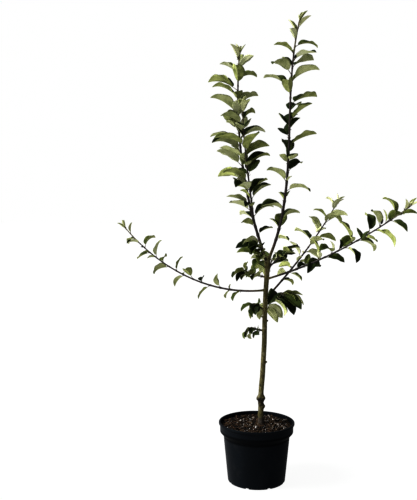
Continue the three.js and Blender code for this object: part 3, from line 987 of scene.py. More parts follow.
@dataclass(frozen=True)
class PlasticFinish:
    """Black moulded plastic: satin, with flow marks, dust, scuffs, and painted shade on the step under the
    collar.
    """

    name: str = "black_plastic"
    black: Colour = (0.009, 0.012, 0.0155)
    worn: Colour = (0.0125, 0.017, 0.0225)
    dust: Colour = (0.026, 0.027, 0.029)
    # Painted shade: the step under the collar takes this darker colour and a duller shine, in place of the
    # shade that falls there.
    step: Colour = (0.0065, 0.008, 0.0095)
    step_shade_foot: Pair = (0.148, 0.153)
    step_shade_top: Pair = (0.182, 0.176)
    shine: float = 0.07
    step_shade_shine: float = 0.03
    roughness: float = 0.42
    roughness_range: Pair = (0.34, 0.55)
    clouds: Pattern = Pattern(9, 4, (1, 1, 0.5), fade=(0.4, 0.7))
    scuffs: Pattern = Pattern(160, 3, (1, 1, 0.12), 0.6, (0.68, 0.8))
    grime: Pattern = Pattern(24, 5, fade=(0.55, 0.8))
    grime_strength: float = 0.5
    grain: Pattern = Pattern(1300, 2)
    grain_depth: float = 0.00005
    flow: Pattern = Pattern(45, 2, (1, 1, 0.3))
    flow_depth: float = 0.0006

    def make(self) -> bpy.types.Material:
        """Makes the material.

        Returns:
            The material, with its nodes.
        """
        sheet = Sheet(self.name, self.roughness)
        clouds = sheet.noise(self.clouds)
        colour = sheet.blend(sheet.fade(clouds, self.clouds.fade), self.black, self.worn)
        colour = sheet.blend(sheet.patches(self.scuffs), colour, self.worn)
        grime = sheet.product(sheet.patches(self.grime), self.grime_strength)
        colour = sheet.blend(grime, colour, self.dust)
        # Painted shade on the step under the collar: darker and less shiny.
        step = sheet.band(self.step_shade_foot, self.step_shade_top)
        sheet.paint(sheet.blend(step, colour, self.step))
        sheet.vary("Specular IOR Level", step, (self.shine, self.step_shade_shine))
        sheet.vary("Roughness", clouds, self.roughness_range)
        sheet.bump((sheet.noise(self.grain), self.grain_depth), (sheet.noise(self.flow), self.flow_depth))
        return sheet.material


@dataclass(frozen=True)
class CrumbFinish:
    """Compost, bark chips and grit: a dull crumbly surface of two tones."""

    name: str
    tone: Colour
    shade: Colour
    crumbs: Pattern = Pattern(240, 4)
    roughness: float = 0.92
    depth: float = 0.0006
    specular: float = 0.25

    def make(self) -> bpy.types.Material:
        """Makes the material.

        Returns:
            The material, with its nodes.
        """
        sheet = Sheet(self.name, self.roughness, self.specular)
        crumbs = sheet.noise(self.crumbs)
        sheet.paint(sheet.blend(sheet.fade(crumbs, self.crumbs.fade), self.shade, self.tone))
        sheet.bump((crumbs, self.depth))
        return sheet.material


Finish = LeafFinish | ShootFinish | BarkFinish | PlasticFinish | CrumbFinish


# ----------------------------------------------------------------------------------------------------
# Meshes
# ----------------------------------------------------------------------------------------------------


class Finisher:
    """Makes each material once, and gives a piece its materials and its body."""

    def __init__(self) -> None:
        """Starts with no materials."""
        self.made: dict[str, bpy.types.Material] = {}

    def material(self, finish: Finish) -> bpy.types.Material:
        """Gives a finish's material, which is made the first time.

        Args:
            finish: The finish.

        Returns:
            Its material.
        """
        if finish.name not in self.made:
            self.made[finish.name] = finish.make()
        return self.made[finish.name]

    def dress(
        self, piece: bpy.types.Object, finishes: Iterable[Finish], nodes: Sequence[str] = ()
    ) -> bpy.types.Object:
        """Gives a piece its finish and its place in the frame.

        Args:
            piece: The piece.
            finishes: Its finishes, in the order of its material slots.
            nodes: The frame's nodes that it stands for.

        Returns:
            The piece.
        """
        for finish in finishes:
            piece.data.materials.append(self.material(finish))
        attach(piece, BODY)
        if nodes:
            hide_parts(*nodes)
        LOG.info("%s: %d faces", piece.name, len(piece.data.polygons))
        return piece


def piece_from(mesh: bpy.types.Mesh, name: str) -> bpy.types.Object:
    """Puts a mesh in the scene as a smooth piece.

    Args:
        mesh: The mesh, in place.
        name: Name of the piece.

    Returns:
        The new object, at the origin.
    """
    mesh.name = name
    mesh.shade_smooth()
    piece = bpy.data.objects.new(name, mesh)
    bpy.context.scene.collection.objects.link(piece)
    return piece


def mesh_from(shape: bmesh.types.BMesh) -> bpy.types.Mesh:
    """Turns a bmesh into a mesh and frees it.

    Args:
        shape: The bmesh.

    Returns:
        The mesh.
    """
    mesh = bpy.data.meshes.new("shape")
    shape.to_mesh(mesh)
    shape.free()
    return mesh


def with_modifier(mesh: bpy.types.Mesh, kind: str, **settings: object) -> bpy.types.Mesh:
    """Applies one modifier to a mesh.

    Args:
        mesh: The mesh, which is removed.
        kind: Kind of modifier.
        settings: Its settings.

    Returns:
        The new mesh.
    """
    holder = bpy.data.objects.new("holder", mesh)
    bpy.context.scene.collection.objects.link(holder)
    modifier = holder.modifiers.new("shape", kind)
    for name, value in settings.items():
        setattr(modifier, name, value)
    made = bpy.data.meshes.new_from_object(holder.evaluated_get(bpy.context.evaluated_depsgraph_get()))
    bpy.data.objects.remove(holder)
    bpy.data.meshes.remove(mesh)
    return made


class Pile:
    """A joined mesh of many small things, filled from arrays."""

    STEEP = 0.9  # share of upwards in a tube's direction, past which its sides start from +X

    def __init__(self) -> None:
        """Starts empty."""
        self.points: list[np.ndarray] = []
        self.faces: list[list[int]] = []
        self.slots: list[int] = []
        self.count = 0

    def add(self, points: np.ndarray, faces: Sequence[Sequence[int]], slots: Sequence[int]) -> None:
        """Adds one small thing.

        Args:
            points: Its corners, one to a row.
            faces: Its faces, as numbers of corners.
            slots: The material slot of each face.
        """
        self.points.append(points)
        self.faces.extend([corner + self.count for corner in face] for face in faces)
        self.slots.extend(slots)
        self.count += len(points)

    def skin(self, rings: np.ndarray, slots: Sequence[int] | np.ndarray) -> None:
        """Adds a closed skin over rings of corners, with flat ends.

        Args:
            rings: Corners by ring and by place in the ring.
            slots: The material slot of the faces at each place in the ring, or one row of them for each
                stretch between rings.
        """
        count, sides = rings.shape[:2]
        grid = np.arange(count * sides).reshape(count, sides)
        ahead = np.roll(grid, -1, axis=1)
        quads = np.stack([grid[:-1], ahead[:-1], ahead[1:], grid[1:]], axis=-1).reshape(-1, 4)
        ends = [grid[0, ::-1].tolist(), grid[-1].tolist()]
        table = np.broadcast_to(np.asarray(slots), (count - 1, sides))
        every = [*table.ravel().tolist(), int(table[0, 0]), int(table[-1, 0])]
        self.add(rings.reshape(-1, 3), [*quads.tolist(), *ends], every)

    def tube(self, line: np.ndarray, radii: np.ndarray, sides: int, slots: np.ndarray | int) -> None:
        """Adds a tube along a line.

        Args:
            line: Points of its centreline.
            radii: Its radius at each point.
            sides: Number of its sides.
            slots: Its material slot, or one for each stretch.
        """
        ahead = np.gradient(line, axis=0)
        ahead /= np.linalg.norm(ahead, axis=1)[:, None]
        right = np.cross(ahead[0], EAST if abs(ahead[0][2]) >= self.STEEP else UP)
        rings = []
        for point, direction, radius in zip(line, ahead, radii):
            right = unit(right - direction * direction.dot(right))
            rings.append(point + radius * spokes(sides, right, np.cross(direction, right)))
        if not isinstance(slots, int):
            slots = np.asarray(slots)[:, None]
        self.skin(np.array(rings), slots)

    def piece(self, name: str) -> bpy.types.Object:
        """Makes the joined mesh.

        Args:
            name: Name of the piece.

        Returns:
            The piece.
        """
        mesh = bpy.data.meshes.new(name)
        mesh.from_pydata(np.concatenate(self.points).tolist(), [], self.faces)
        mesh.polygons.foreach_set("material_index", self.slots)
        return piece_from(mesh, name)


# ----------------------------------------------------------------------------------------------------
# Pot and compost
# ----------------------------------------------------------------------------------------------------


MERGE_DISTANCE = 0.00001


def arc(centre: Pair, radius: float, start: float, end: float, steps: int) -> list[Pair]:
    """Points of a round stretch of a profile.

    Args:
        centre: Its centre, as radius from the pot's axis and height.
        radius: Its radius.
        start: First angle in degrees, from straight out.
        end: Last angle.
        steps: Number of its straight steps.

    Returns:
        The points.
    """
    angles = np.radians(np.linspace(start, end, steps + 1))
    return [(centre[0] + radius * math.cos(a), centre[1] + radius * math.sin(a)) for a in angles]


def spun(profile: Sequence[Pair], steps: int) -> bmesh.types.BMesh:
    """Spins a profile that starts and ends on the axis into a closed shape.

    Args:
        profile: Points as radius and height.
        steps: Number of steps in the full turn.

    Returns:
        The closed shape, with its faces pointing out.
    """
    shape = bmesh.new()
    verts = [shape.verts.new((radius, 0, height)) for radius, height in profile]
    edges = [shape.edges.new(pair) for pair in zip(verts, verts[1:])]
    bmesh.ops.spin(
        shape,
        geom=[*verts, *edges],
        axis=(0, 0, 1),
        cent=(0, 0, 0),
        steps=steps,
        angle=2 * math.pi,
        use_merge=True,
    )
    bmesh.ops.remove_doubles(shape, verts=shape.verts, dist=MERGE_DISTANCE)
    bmesh.ops.recalc_face_normals(shape, faces=shape.faces)
    return shape


@dataclass
class NurseryPot:
    """The moulded pot: rolled lip, stepped collar, tapered wall, and channels and holes in its underside."""

    lip_height: float = 0.007
    lip_round: float = 0.002
    lip_edge: float = 0.0012
    lip_inner: float = 0.0018
    fillet: float = 0.0006
    collar_radius: float = 0.1255
    collar_foot: float = 0.1725
    collar_round: float = 0.0025
    collar_draft: float = 0.0004
    collar_thinning: float = 0.0006
    inner_step: float = 0.012
    shoulder_foot: float = 0.1575
    shoulder_hollow: float = 0.0018
    shoulder_offset: Pair = (0.0015, 0.0005)
    wall_top_radius: float = 0.1135
    wall_bend: Pair = (0.0022, 0.024)
    base_radius: float = 0.0985
    base_round: float = 0.004
    base_draft: float = 0.0006
    wall: float = 0.0024
    floor: float = 0.008
    drains: int = 8
    drain_width: float = 0.013
    drain_height: float = 0.0042
    drain_round: float = 0.003
    drain_inner: float = 0.046
    drain_end: float = 0.1085
    hole_radius: float = 0.08
    hole_size: float = 0.005
    hole_sides: int = 20
    steps: int = 192
    smooth_angle: float = 35
    finish: PlasticFinish = PlasticFinish()

    def __post_init__(self) -> None:
        """Reads the pot's height and lip from the frame."""
        _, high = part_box("pot")
        self.height = high.z
        self.lip_radius = high.x

    def profile(self) -> list[Pair]:
        """Draws the wall's section.

        Returns:
            Radius and height of each corner, from the middle of the underside out, up and back down inside.
        """
        lip = self.lip_round
        edge = self.lip_edge
        inside = self.collar_radius - self.wall
        thinner = inside - self.collar_thinning
        lip_foot = self.height - self.lip_height
        hollow_out, hollow_down = self.shoulder_offset
        bend_in, bend_down = self.wall_bend
        hollow = (self.wall_top_radius + hollow_out, self.shoulder_foot - hollow_down)
        collar = (self.collar_radius - self.collar_round, self.collar_foot + self.collar_draft)
        return [
            (0, 0),
            (self.drain_inner, 0),
            *arc((self.base_radius - self.base_round, self.base_round), self.base_round, -90, -3, 5),
            (self.wall_top_radius - bend_in, self.shoulder_foot - bend_down),
            *arc(hollow, self.shoulder_hollow, 175, 136, 3),
            *arc(collar, self.collar_round, -42, 0, 3),
            (self.collar_radius + self.collar_draft, lip_foot - edge),
            *arc((self.collar_radius + 2 * self.fillet, lip_foot - self.fillet), self.fillet, 180, 90, 2),
            *arc((self.lip_radius - edge, lip_foot + edge), edge, -90, 0, 3),
            *arc((self.lip_radius - lip, self.height - lip), lip, 0, 90, 5),
            *arc((inside + self.lip_inner, self.height - edge), edge, 90, 180, 3),
            (inside, self.height - self.inner_step),
            (thinner, self.height - self.inner_step - self.collar_thinning),
            (thinner, self.collar_foot),
            (self.wall_top_radius - self.wall, self.shoulder_foot),
            (self.base_radius + self.base_draft - self.wall, self.floor),
            (0, self.floor),
        ]

    def drain_cutter(self) -> bpy.types.Object:
        """Models the channels and holes that are cut out of the underside.

        Returns:
            The cutter.
        """
        cutter = bmesh.new()
        length = self.drain_end - self.drain_inner
        for i in range(self.drains):
            turn = Matrix.Rotation((i + 0.5) * 2 * math.pi / self.drains, 4, "Z")
            place = Matrix.Translation((self.drain_inner + length / 2, 0, 0))
            size = Matrix.Diagonal((length, self.drain_width, 2 * self.drain_height, 1))
            channel = bmesh.ops.create_cube(cutter, size=1, matrix=turn @ place @ size)
            upright = {
                edge
                for vert in channel["verts"]
                for edge in vert.link_edges
                if abs(edge.verts[0].co.z - edge.verts[1].co.z) > self.drain_height
            }
            bmesh.ops.bevel(
                cutter,
                geom=list(upright),
                offset=self.drain_round,
                segments=3,
                profile=0.5,
                affect="EDGES",
                material=-1,
            )
            bmesh.ops.create_cone(
                cutter,
                cap_ends=True,
                segments=self.hole_sides,
                radius1=self.hole_size,
                radius2=self.hole_size,
                depth=4 * self.floor,
                matrix=turn @ Matrix.Translation((self.hole_radius, 0, 0)),
            )
        bmesh.ops.recalc_face_normals(cutter, faces=cutter.faces)
        holder = bpy.data.objects.new("cutter", mesh_from(cutter))
        bpy.context.scene.collection.objects.link(holder)
        return holder

    def build(self, finisher: Finisher) -> bpy.types.Object:
        """Makes the pot.

        Args:
            finisher: Gives it its plastic.

        Returns:
            The piece.
        """
        cutter = self.drain_cutter()
        mesh = mesh_from(spun(self.profile(), self.steps))
        mesh = with_modifier(mesh, "BOOLEAN", object=cutter, operation="DIFFERENCE", use_self=True)
        bpy.data.objects.remove(cutter)
        pot = piece_from(mesh, "nursery_pot")
        mesh.set_sharp_from_angle(angle=math.radians(self.smooth_angle))
        return finisher.dress(pot, [self.finish], ["pot"])


class Crumb(IntEnum):
    """Material slots of the chips that lie on the compost."""

    BROWN = 0
    RED = 1
    BLACK = 2
    GREY = 3


@dataclass(frozen=True)
class Stone:
    """A large white stone in the compost: its place, and half its size along each axis."""

    place: Pair
    half_size: Triple


@dataclass(frozen=True)
class Lumps:
    """Smooth lumps of the compost: how many to a metre, their height, and the layer of noise they take."""

    scale: float
    height: float
    layer: float

    def at(self, x: float, y: float) -> float:
        """Height of the lumps at a place."""
        return self.height * noise.noise(Vector((x * self.scale, y * self.scale, self.layer)))


@dataclass
class Compost:
    """The compost bed, the bark chips that lie on it and the pale grit between them."""

    clearance: float = 0.0004
    crown_height: float = 0.194
    edge_height: float = 0.193
    edge_drop: float = 0.006
    crown_radius: float = 0.034
    rings: int = 60
    steps: int = 200
    lumps: tuple[Lumps, ...] = (Lumps(45, 0.0026, 3.1), Lumps(130, 0.00156, 7.7), Lumps(420, 0.00104, 1.9))
    dip: float = 0.003
    dip_width: float = 0.011
    chips: int = 1700
    # Chips stop this far short of the wall, leaving a bare dark band there as painted shade under the rim.
    chip_border: float = 0.008
    chip_length: Pair = (0.0035, 0.0145)
    chip_rarity: float = 2.2
    chip_width: Pair = (0.25, 0.6)
    chip_height: Pair = (0.1, 0.3)
    chip_shares: tuple[float, ...] = (0.42, 0.2, 0.3, 0.08)
    grains: int = 340
    grain_size: Pair = (0.0014, 0.0042)
    grain_shape: Pair = (0.75, 1.25)
    uneven: float = 0.22
    bend: float = 0.5
    tilts: Pair = (0.3, 0.35)
    lift: Pair = (0.35, 0.9)
    stones: tuple[Stone, ...] = (
        Stone((-0.005, -0.047), (0.0034, 0.004, 0.0062)),
        Stone((0.074, 0.045), (0.0036, 0.003, 0.0026)),
        Stone((0.061, 0.052), (0.003, 0.003, 0.0024)),
        Stone((-0.052, 0.038), (0.0034, 0.0026, 0.0024)),
    )
    stone_uneven: float = 0.1
    stone_lift: float = 0.7
    seed: int = 41
    ground: CrumbFinish = CrumbFinish("compost_ground", (0.04, 0.028, 0.02), (0.013, 0.01, 0.009))
    chip_finishes: tuple[CrumbFinish, ...] = (
        CrumbFinish("chip_brown", (0.115, 0.077, 0.045), (0.038, 0.026, 0.017)),
        CrumbFinish("chip_red", (0.112, 0.07, 0.044), (0.046, 0.029, 0.021)),
        CrumbFinish("chip_black", (0.036, 0.029, 0.024), (0.015, 0.012, 0.012)),
        CrumbFinish("chip_grey", (0.36, 0.33, 0.3), (0.19, 0.17, 0.15)),
    )
    grit: CrumbFinish = CrumbFinish(
        "pale_grit", (0.74, 0.73, 0.72), (0.5, 0.48, 0.46), Pattern(500, 4), 0.8, 0.0003
    )

    def __post_init__(self) -> None:
        """Reads the bed's reach from the frame."""
        low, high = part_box("soil")
        self.foot = low.z
        self.reach = high.x

    def surface(self, x: float, y: float) -> float:
        """Works out the compost's height at a place.

        Args:
            x: The place along +X.
            y: The place along +Y.

        Returns:
            The height.
        """
        radius = math.hypot(x, y)
        share = clamped((radius - self.crown_radius) / (self.reach - self.crown_radius))
        height = self.crown_height + (self.edge_height - self.crown_height) * share
        height -= self.dip * max(0.0, 1 - (self.reach - radius) / self.dip_width) ** 2
        return height + sum(lumps.at(x, y) for lumps in self.lumps)

    def make_bed(self) -> bpy.types.Mesh:
        """Models the closed bed that fills the pot.

        Returns:
            The bed's mesh.
        """
        pot = NurseryPot()
        profile = [
            (0, self.foot),
            (pot.base_radius - pot.wall, self.foot),
            (pot.wall_top_radius - pot.wall - self.clearance, pot.shoulder_foot),
            (self.reach, pot.collar_foot),
            (self.reach, self.edge_height - self.edge_drop),
        ]
        profile += [(self.reach * (1 - i / self.rings), self.edge_height) for i in range(self.rings + 1)]
        bed = spun(profile, self.steps)
        for vert in bed.verts:
            if vert.co.z > self.edge_height - self.edge_drop / 2:
                vert.co.z = self.surface(vert.co.x, vert.co.y)
        return mesh_from(bed)

    def template(self, fineness: int) -> tuple[np.ndarray, list[list[int]]]:
        """A unit lump that is bent into each chip, grain or stone.

        Args:
            fineness: 0 for a chip's block, or how finely a ball is divided.

        Returns:
            Its corners and its faces.
        """
        shape = bmesh.new()
        if fineness == 0:
            bmesh.ops.create_cube(shape, size=1)
            lengthways = [e for e in shape.edges if abs(e.verts[0].co.x - e.verts[1].co.x) > 0.5]
            bmesh.ops.subdivide_edges(shape, edges=lengthways, cuts=2, use_grid_fill=True)
        else:
            bmesh.ops.create_icosphere(shape, subdivisions=fineness, radius=0.5)
        shape.verts.index_update()
        corners = np.array([v.co[:] for v in shape.verts])
        faces = [[v.index for v in face.verts] for face in shape.faces]
        shape.free()
        return corners, faces

    def scatter(self, pile: Pile, count: int, chips: bool, rng: np.random.Generator) -> None:
        """Strews chips or grains over the bed.

        Args:
            pile: The joined mesh that they go into.
            count: How many there are.
            chips: True for bark chips, False for round grains.
            rng: Generator of their places and shapes.
        """
        corners, faces = self.template(0 if chips else 1)
        shortest, longest = self.chip_length
        for _ in range(count):
            radius = (self.reach - self.chip_border) * math.sqrt(rng.random())
            angle = rng.random() * 2 * math.pi
            x, y = radius * math.cos(angle), radius * math.sin(angle)
            if chips:
                length = shortest + (longest - shortest) * rng.random() ** self.chip_rarity
                size = length * np.array([1, rng.uniform(*self.chip_width), rng.uniform(*self.chip_height)])
                slot = int(rng.choice(len(Crumb), p=self.chip_shares))
            else:
                size = rng.uniform(*self.grain_size) * rng.uniform(*self.grain_shape, 3)
                slot = 0
            body = corners * size * (1 + rng.uniform(-self.uneven, self.uneven, corners.shape))
            body[:, 2] += size[0] * rng.uniform(-self.bend, self.bend) * corners[:, 0] ** 2
            turn = Matrix.Rotation(rng.random() * 2 * math.pi, 3, "Z")
            across, along = (rng.normal(0, spread) for spread in self.tilts)
            tilt = Matrix.Rotation(across, 3, "Y") @ Matrix.Rotation(along, 3, "X")
            body = body @ np.array(turn @ tilt).T
            lift = -body[:, 2].min() * rng.uniform(*self.lift)
            pile.add(body + [x, y, self.surface(x, y) + lift], faces, [slot] * len(faces))

    def add_stones(self, pile: Pile, rng: np.random.Generator) -> None:
        """Adds the large white stones, sunk a little into the bed.

        Args:
            pile: The joined mesh that they go into.
            rng: Generator of their shapes.
        """
        corners, faces = self.template(2)
        for stone in self.stones:
            uneven = rng.uniform(-self.stone_uneven, self.stone_uneven, corners.shape)
            x, y = stone.place
            centre = [x, y, self.surface(x, y) + self.stone_lift * stone.half_size[2]]
            pile.add(2 * corners * stone.half_size * (1 + uneven) + centre, faces, [0] * len(faces))

    def build(self, finisher: Finisher) -> None:
        """Makes the bed, its chips and its grit.

        Args:
            finisher: Gives them their finishes.
        """
        rng = np.random.default_rng(self.seed)
        finisher.dress(piece_from(self.make_bed(), "compost_bed"), [self.ground], ["soil"])
        chips = Pile()
        self.scatter(chips, self.chips, True, rng)
        finisher.dress(chips.piece("compost_chips"), self.chip_finishes)
        grains = Pile()
        self.scatter(grains, self.grains, False, rng)
        self.add_stones(grains, rng)
        finisher.dress(grains.piece("compost_grit"), [self.grit])


# ----------------------------------------------------------------------------------------------------
# Bark of the trunk and boughs
# ----------------------------------------------------------------------------------------------------


@dataclass(frozen=True)
class Grain:
    """One layer of the bark's relief: how many bumps to a metre, across and up the stem, and their height."""

    across: float
    up: float
    height: float

    def at(self, place: Vector) -> float:
        """Works out how far the layer stands out at a place.

        Args:
            place: The place.

        Returns:
            The height.
        """
        return self.height * noise.noise(
            Vector((place.x * self.across, place.y * self.across, place.z * self.up))
        )


@dataclass(frozen=True)
class Scar:
    """The round scar on the graft, with a raised lip, a pit in its middle and a ring of painted shade between
    them.
    """

    height: float = 0.2745
    aside: float = 0.001
    squash: float = 0.8
    reach: float = 0.012
    radius: float = 0.0038
    lip: Pair = (0.0012, 0.0013)
    pit: Pair = (0.0009, 0.0018)
    groove_share: float = 0.55
    # Painted shade in the ring between lip and pit: its strength and its width.
    ring_shade: Pair = (0.8, 0.0009)

    def at(self, place: Vector, centre: np.ndarray) -> Pair:
        """The scar's relief and painted shade at a place.

        Args:
            place: Point of the skin.
            centre: Point of the trunk's centreline at the scar's height.

        Returns:
            How far the bark stands out there, and the share of painted shade in the ring between lip and pit.
        """
        away = math.hypot(place.x - centre[0] - self.aside, (place.z - self.height) * self.squash)
        if place.y >= centre[1] or away >= self.reach:
            return 0.0, 0.0
        lip = self.lip[0] * bell(away - self.radius, self.lip[1])
        pit = self.pit[0] * bell(away, self.pit[1])
        # The lip and pit are relief; the ring between them gets painted shade.
        return lip - pit, self.ring_shade[0] * bell(away - self.radius * self.groove_share, self.ring_shade[1])


@dataclass
class Bark:
    """One skin of bark over the trunk, its stubs and the bare feet of the limbs, with real relief."""

    trunk: Trunk
    shoots: dict[str, Shoot]
    sunk: float = 0.005
    ring_step: float = 0.003
    sides: int = 40
    limb_sides: int = 16
    voxel: float = 0.00085
    smoothings: int = 3
    overrun: float = 0.002
    dome_height: float = 0.004
    dome_radius: float = 0.0045
    dome_least: float = 0.05
    collar: float = 0.011
    collar_swell: float = 0.55
    fullness: float = 1.1
    thickening: float = 0.0006
    stub_rise: float = 0.5
    stub_shape: tuple[Pair, ...] = ((0, 1.5), (0.5, 1.35), (0.7, 1.05), (0.92, 0.95), (1, 0.7))
    fibres: Grain = Grain(520, 70, 0.00024)
    lumps: Grain = Grain(110, 110, 0.0004)
    wrinkles: Grain = Grain(200, 620, 0.00016)
    smooth: float = 0.45
    rough: float = 1.1
    rough_fade: float = 0.05
    young_smooth: float = 0.6
    graft_height: float = 0.286
    graft_groove: Pair = (0.012, 0.003)
    graft_groove_depth: float = 0.001
    # Painted shade: how dark the cut under the graft is made.
    graft_shade_strength: float = 0.75
    # Painted shade in the relief's hollows: where it starts and how fast it deepens.
    hollow_shade_from: float = 0.0001
    hollow_shade_strength: float = 4000
    trunk_reach: float = 0.012
    fork_reach: float = 0.004
    youth_fade: float = 0.045
    scar: Scar = Scar()
    finish: BarkFinish = BarkFinish()

    def extrude_rings(self, shape: bmesh.types.BMesh, rings: Sequence[np.ndarray]) -> None:
        """Extrudes a capped tube through rings of points.

        Args:
            shape: The bmesh that the tube is added to.
            rings: The corners of each ring, one to a row.
        """
        made = bmesh.ops.create_circle(shape, cap_ends=True, segments=len(rings[0]), radius=1)
        loop = made["verts"]
        for vert, corner in zip(loop, rings[0]):
            vert.co = corner
        cap = loop[0].link_faces[0]
        start = {vert: i for i, vert in enumerate(loop)}
        order = [start[vert] for vert in cap.verts]
        for ring in rings[1:]:
            made = bmesh.ops.extrude_face_region(shape, geom=[cap])
            cap = next(item for item in made["geom"] if isinstance(item, bmesh.types.BMFace))
            for vert, place in zip(cap.verts, order):
                vert.co = ring[place]

    def trunk_rings(self) -> list[np.ndarray]:
        """Lays out the trunk's rings.

        Returns:
            The rings, from just under the compost to the domed top of the fork.
        """
        foot, top = self.trunk.foot, self.trunk.top
        count = round((top - foot + self.sunk) / self.ring_step)
        rings = []
        for height in np.linspace(foot - self.sunk, top + self.dome_height, count):
            kept = min(max(height, foot), top)
            dome = math.sqrt(max(self.dome_least, 1 - (max(0.0, height - top) / self.dome_radius) ** 2))
            radii = [(self.trunk.radius(kept, a) + self.thickening) * dome for a in turn_angles(self.sides)]
            ring = self.trunk.at(kept) + np.array(radii)[:, None] * spokes(self.sides, EAST, NORTH)
            ring[:, 2] = height
            rings.append(ring)
        return rings

    def limb_rings(self, shoot: Shoot, end: float) -> list[np.ndarray]:
        """Rings of a limb's foot, with a collar where it leaves the trunk.

        Args:
            shoot: The limb.
            end: Distance along it where the bark ends.

        Returns:
            Its rings.
        """
        rings = []
        for distance in np.linspace(0, end, max(3, round(end / self.ring_step))):
            point, direction = shoot.at(distance)
            swell = self.fullness + self.collar_swell * bell(distance, self.collar)
            around = spokes(self.limb_sides, shoot.side, np.cross(direction, shoot.side))
            rings.append(point + shoot.radius(distance) * swell * around)
        return rings

    def stub_rings(self, stub: Stub) -> list[np.ndarray]:
        """Lays out a pruning stub's rings.

        Args:
            stub: The stub.

        Returns:
            The rings, from the trunk out.
        """
        azimuth = math.radians(stub.side)
        out = unit(level(azimuth) + self.stub_rise * UP)
        right = np.cross(UP, level(azimuth))
        around = spokes(self.limb_sides, right, np.cross(out, right))
        reach = self.trunk.radius(stub.height, azimuth) + stub.length
        centre = self.trunk.at(stub.height)
        return [
            centre + out * (reach * share) + stub.radius * width * around
            for share, width in self.stub_shape
        ]

    def body(self) -> bpy.types.Mesh:
        """Fuses the trunk, limbs and stubs into one smooth skin.

        Returns:
            The skin's mesh.
        """
        shape = bmesh.new()
        self.extrude_rings(shape, self.trunk_rings())
        for name, shoot in self.shoots.items():
            if name in LIMBS:
                self.extrude_rings(shape, self.limb_rings(shoot, shoot.bare + self.overrun))
            elif name in SPURS:
                self.extrude_rings(shape, self.limb_rings(shoot, shoot.bare))
        for stub in self.trunk.stubs:
            self.extrude_rings(shape, self.stub_rings(stub))
        bmesh.ops.recalc_face_normals(shape, faces=shape.faces)
        mesh = with_modifier(mesh_from(shape), "REMESH", mode="VOXEL", voxel_size=self.voxel)
        smoothed = bmesh.new()
        smoothed.from_mesh(mesh)
        for _ in range(self.smoothings):
            bmesh.ops.smooth_vert(
                smoothed, verts=smoothed.verts, factor=0.5, use_axis_x=True, use_axis_y=True, use_axis_z=True
            )
        smoothed.to_mesh(mesh)
        smoothed.free()
        return mesh

    def relief(self, place: Vector, youth: float) -> Pair:
        """How far the bark stands out at a place, and how much painted shade it takes in hollows and grooves.

        Args:
            place: Point of the skin.
            youth: 0 on the trunk and 1 on a young limb.

        Returns:
            The height of the relief, and the share from 0 to 1 of painted shade in the hollows, under the
            graft and in the scar's ring.
        """
        rough = self.smooth + self.rough * math.exp(-max(0.0, place.z - self.graft_height) / self.rough_fade)
        rough *= 1 - self.young_smooth * youth
        fibres, lumps, wrinkles = (layer.at(place) for layer in (self.fibres, self.lumps, self.wrinkles))
        centre = self.trunk.at(self.scar.height)
        scar, ring_shade = self.scar.at(place, centre)
        # A cut under the graft on the left side: carved in, and darkened there with painted shade.
        below, width = self.graft_groove
        under = bell(place.z - self.graft_height + below, width)
        under *= max(0.0, (centre[0] - place.x) / self.trunk.foot_radius)
        # Painted shade in the hollows where the lumps sink.
        hollow = clamped((-lumps - self.hollow_shade_from) * self.hollow_shade_strength) * min(rough, 1)
        height = rough * (fibres + lumps + wrinkles) + scar - self.graft_groove_depth * under
        return height, min(max(ring_shade, self.graft_shade_strength * under, hollow), 1.0)

    def youth(self, place: Vector) -> float:
        """Works out how far a place is from the trunk and out on a limb.

        Args:
            place: The place.

        Returns:
            0 on the trunk, up to 1 on the young wood.
        """
        centre = self.trunk.at(min(place.z, self.trunk.top))
        away = math.hypot(place.x - centre[0], place.y - centre[1])
        rise = max(0.0, place.z - self.trunk.top)
        return clamped(max(away - self.trunk_reach, rise - self.fork_reach) / self.youth_fade)

    def build(self, finisher: Finisher) -> bpy.types.Object:
        """Makes the bark.

        Args:
            finisher: Gives it its finish.

        Returns:
            The piece.
        """
        mesh = self.body()
        youth = []
        crease_shades = []
        moved = []
        for vert in mesh.vertices:
            age = self.youth(vert.co)
            height, crease_shade = self.relief(vert.co, age)
            moved.append(vert.co + vert.normal * height)
            youth.append(age)
            crease_shades.append(crease_shade)
        mesh.vertices.foreach_set("co", np.array(moved).ravel())
        # The mesh carries the youth of the wood and the painted shade of hollows and grooves.
        for name, values in ((self.finish.youth_attribute, youth), (self.finish.crease_shade_attribute, crease_shades)):
            mesh.attributes.new(name, "FLOAT", "POINT").data.foreach_set("value", values)
        mesh.update()
        return finisher.dress(piece_from(mesh, "bark"), [self.finish], ["trunk", *LIMBS])


# ----------------------------------------------------------------------------------------------------
# Twigs and leaves
# ----------------------------------------------------------------------------------------------------


class Wood(IntEnum):
    """Material slots of the twigs."""

    OLD = 0
    RIPE = 1
    GREEN = 2
    STALK = 3
    BUD = 4
    STIPULE = 5


class Side(IntEnum):
    """Material slots of the leaves: three tones above, three below, the midrib, and young leaves."""

    DEEP = 0
    MIDDLE = 1
    BRIGHT = 2
    SAGE = 3
    OLIVE = 4
    PALE = 5
    RIB_ABOVE = 6
    RIB_BELOW = 7
    YOUNG_ABOVE = 8
    YOUNG_BELOW = 9


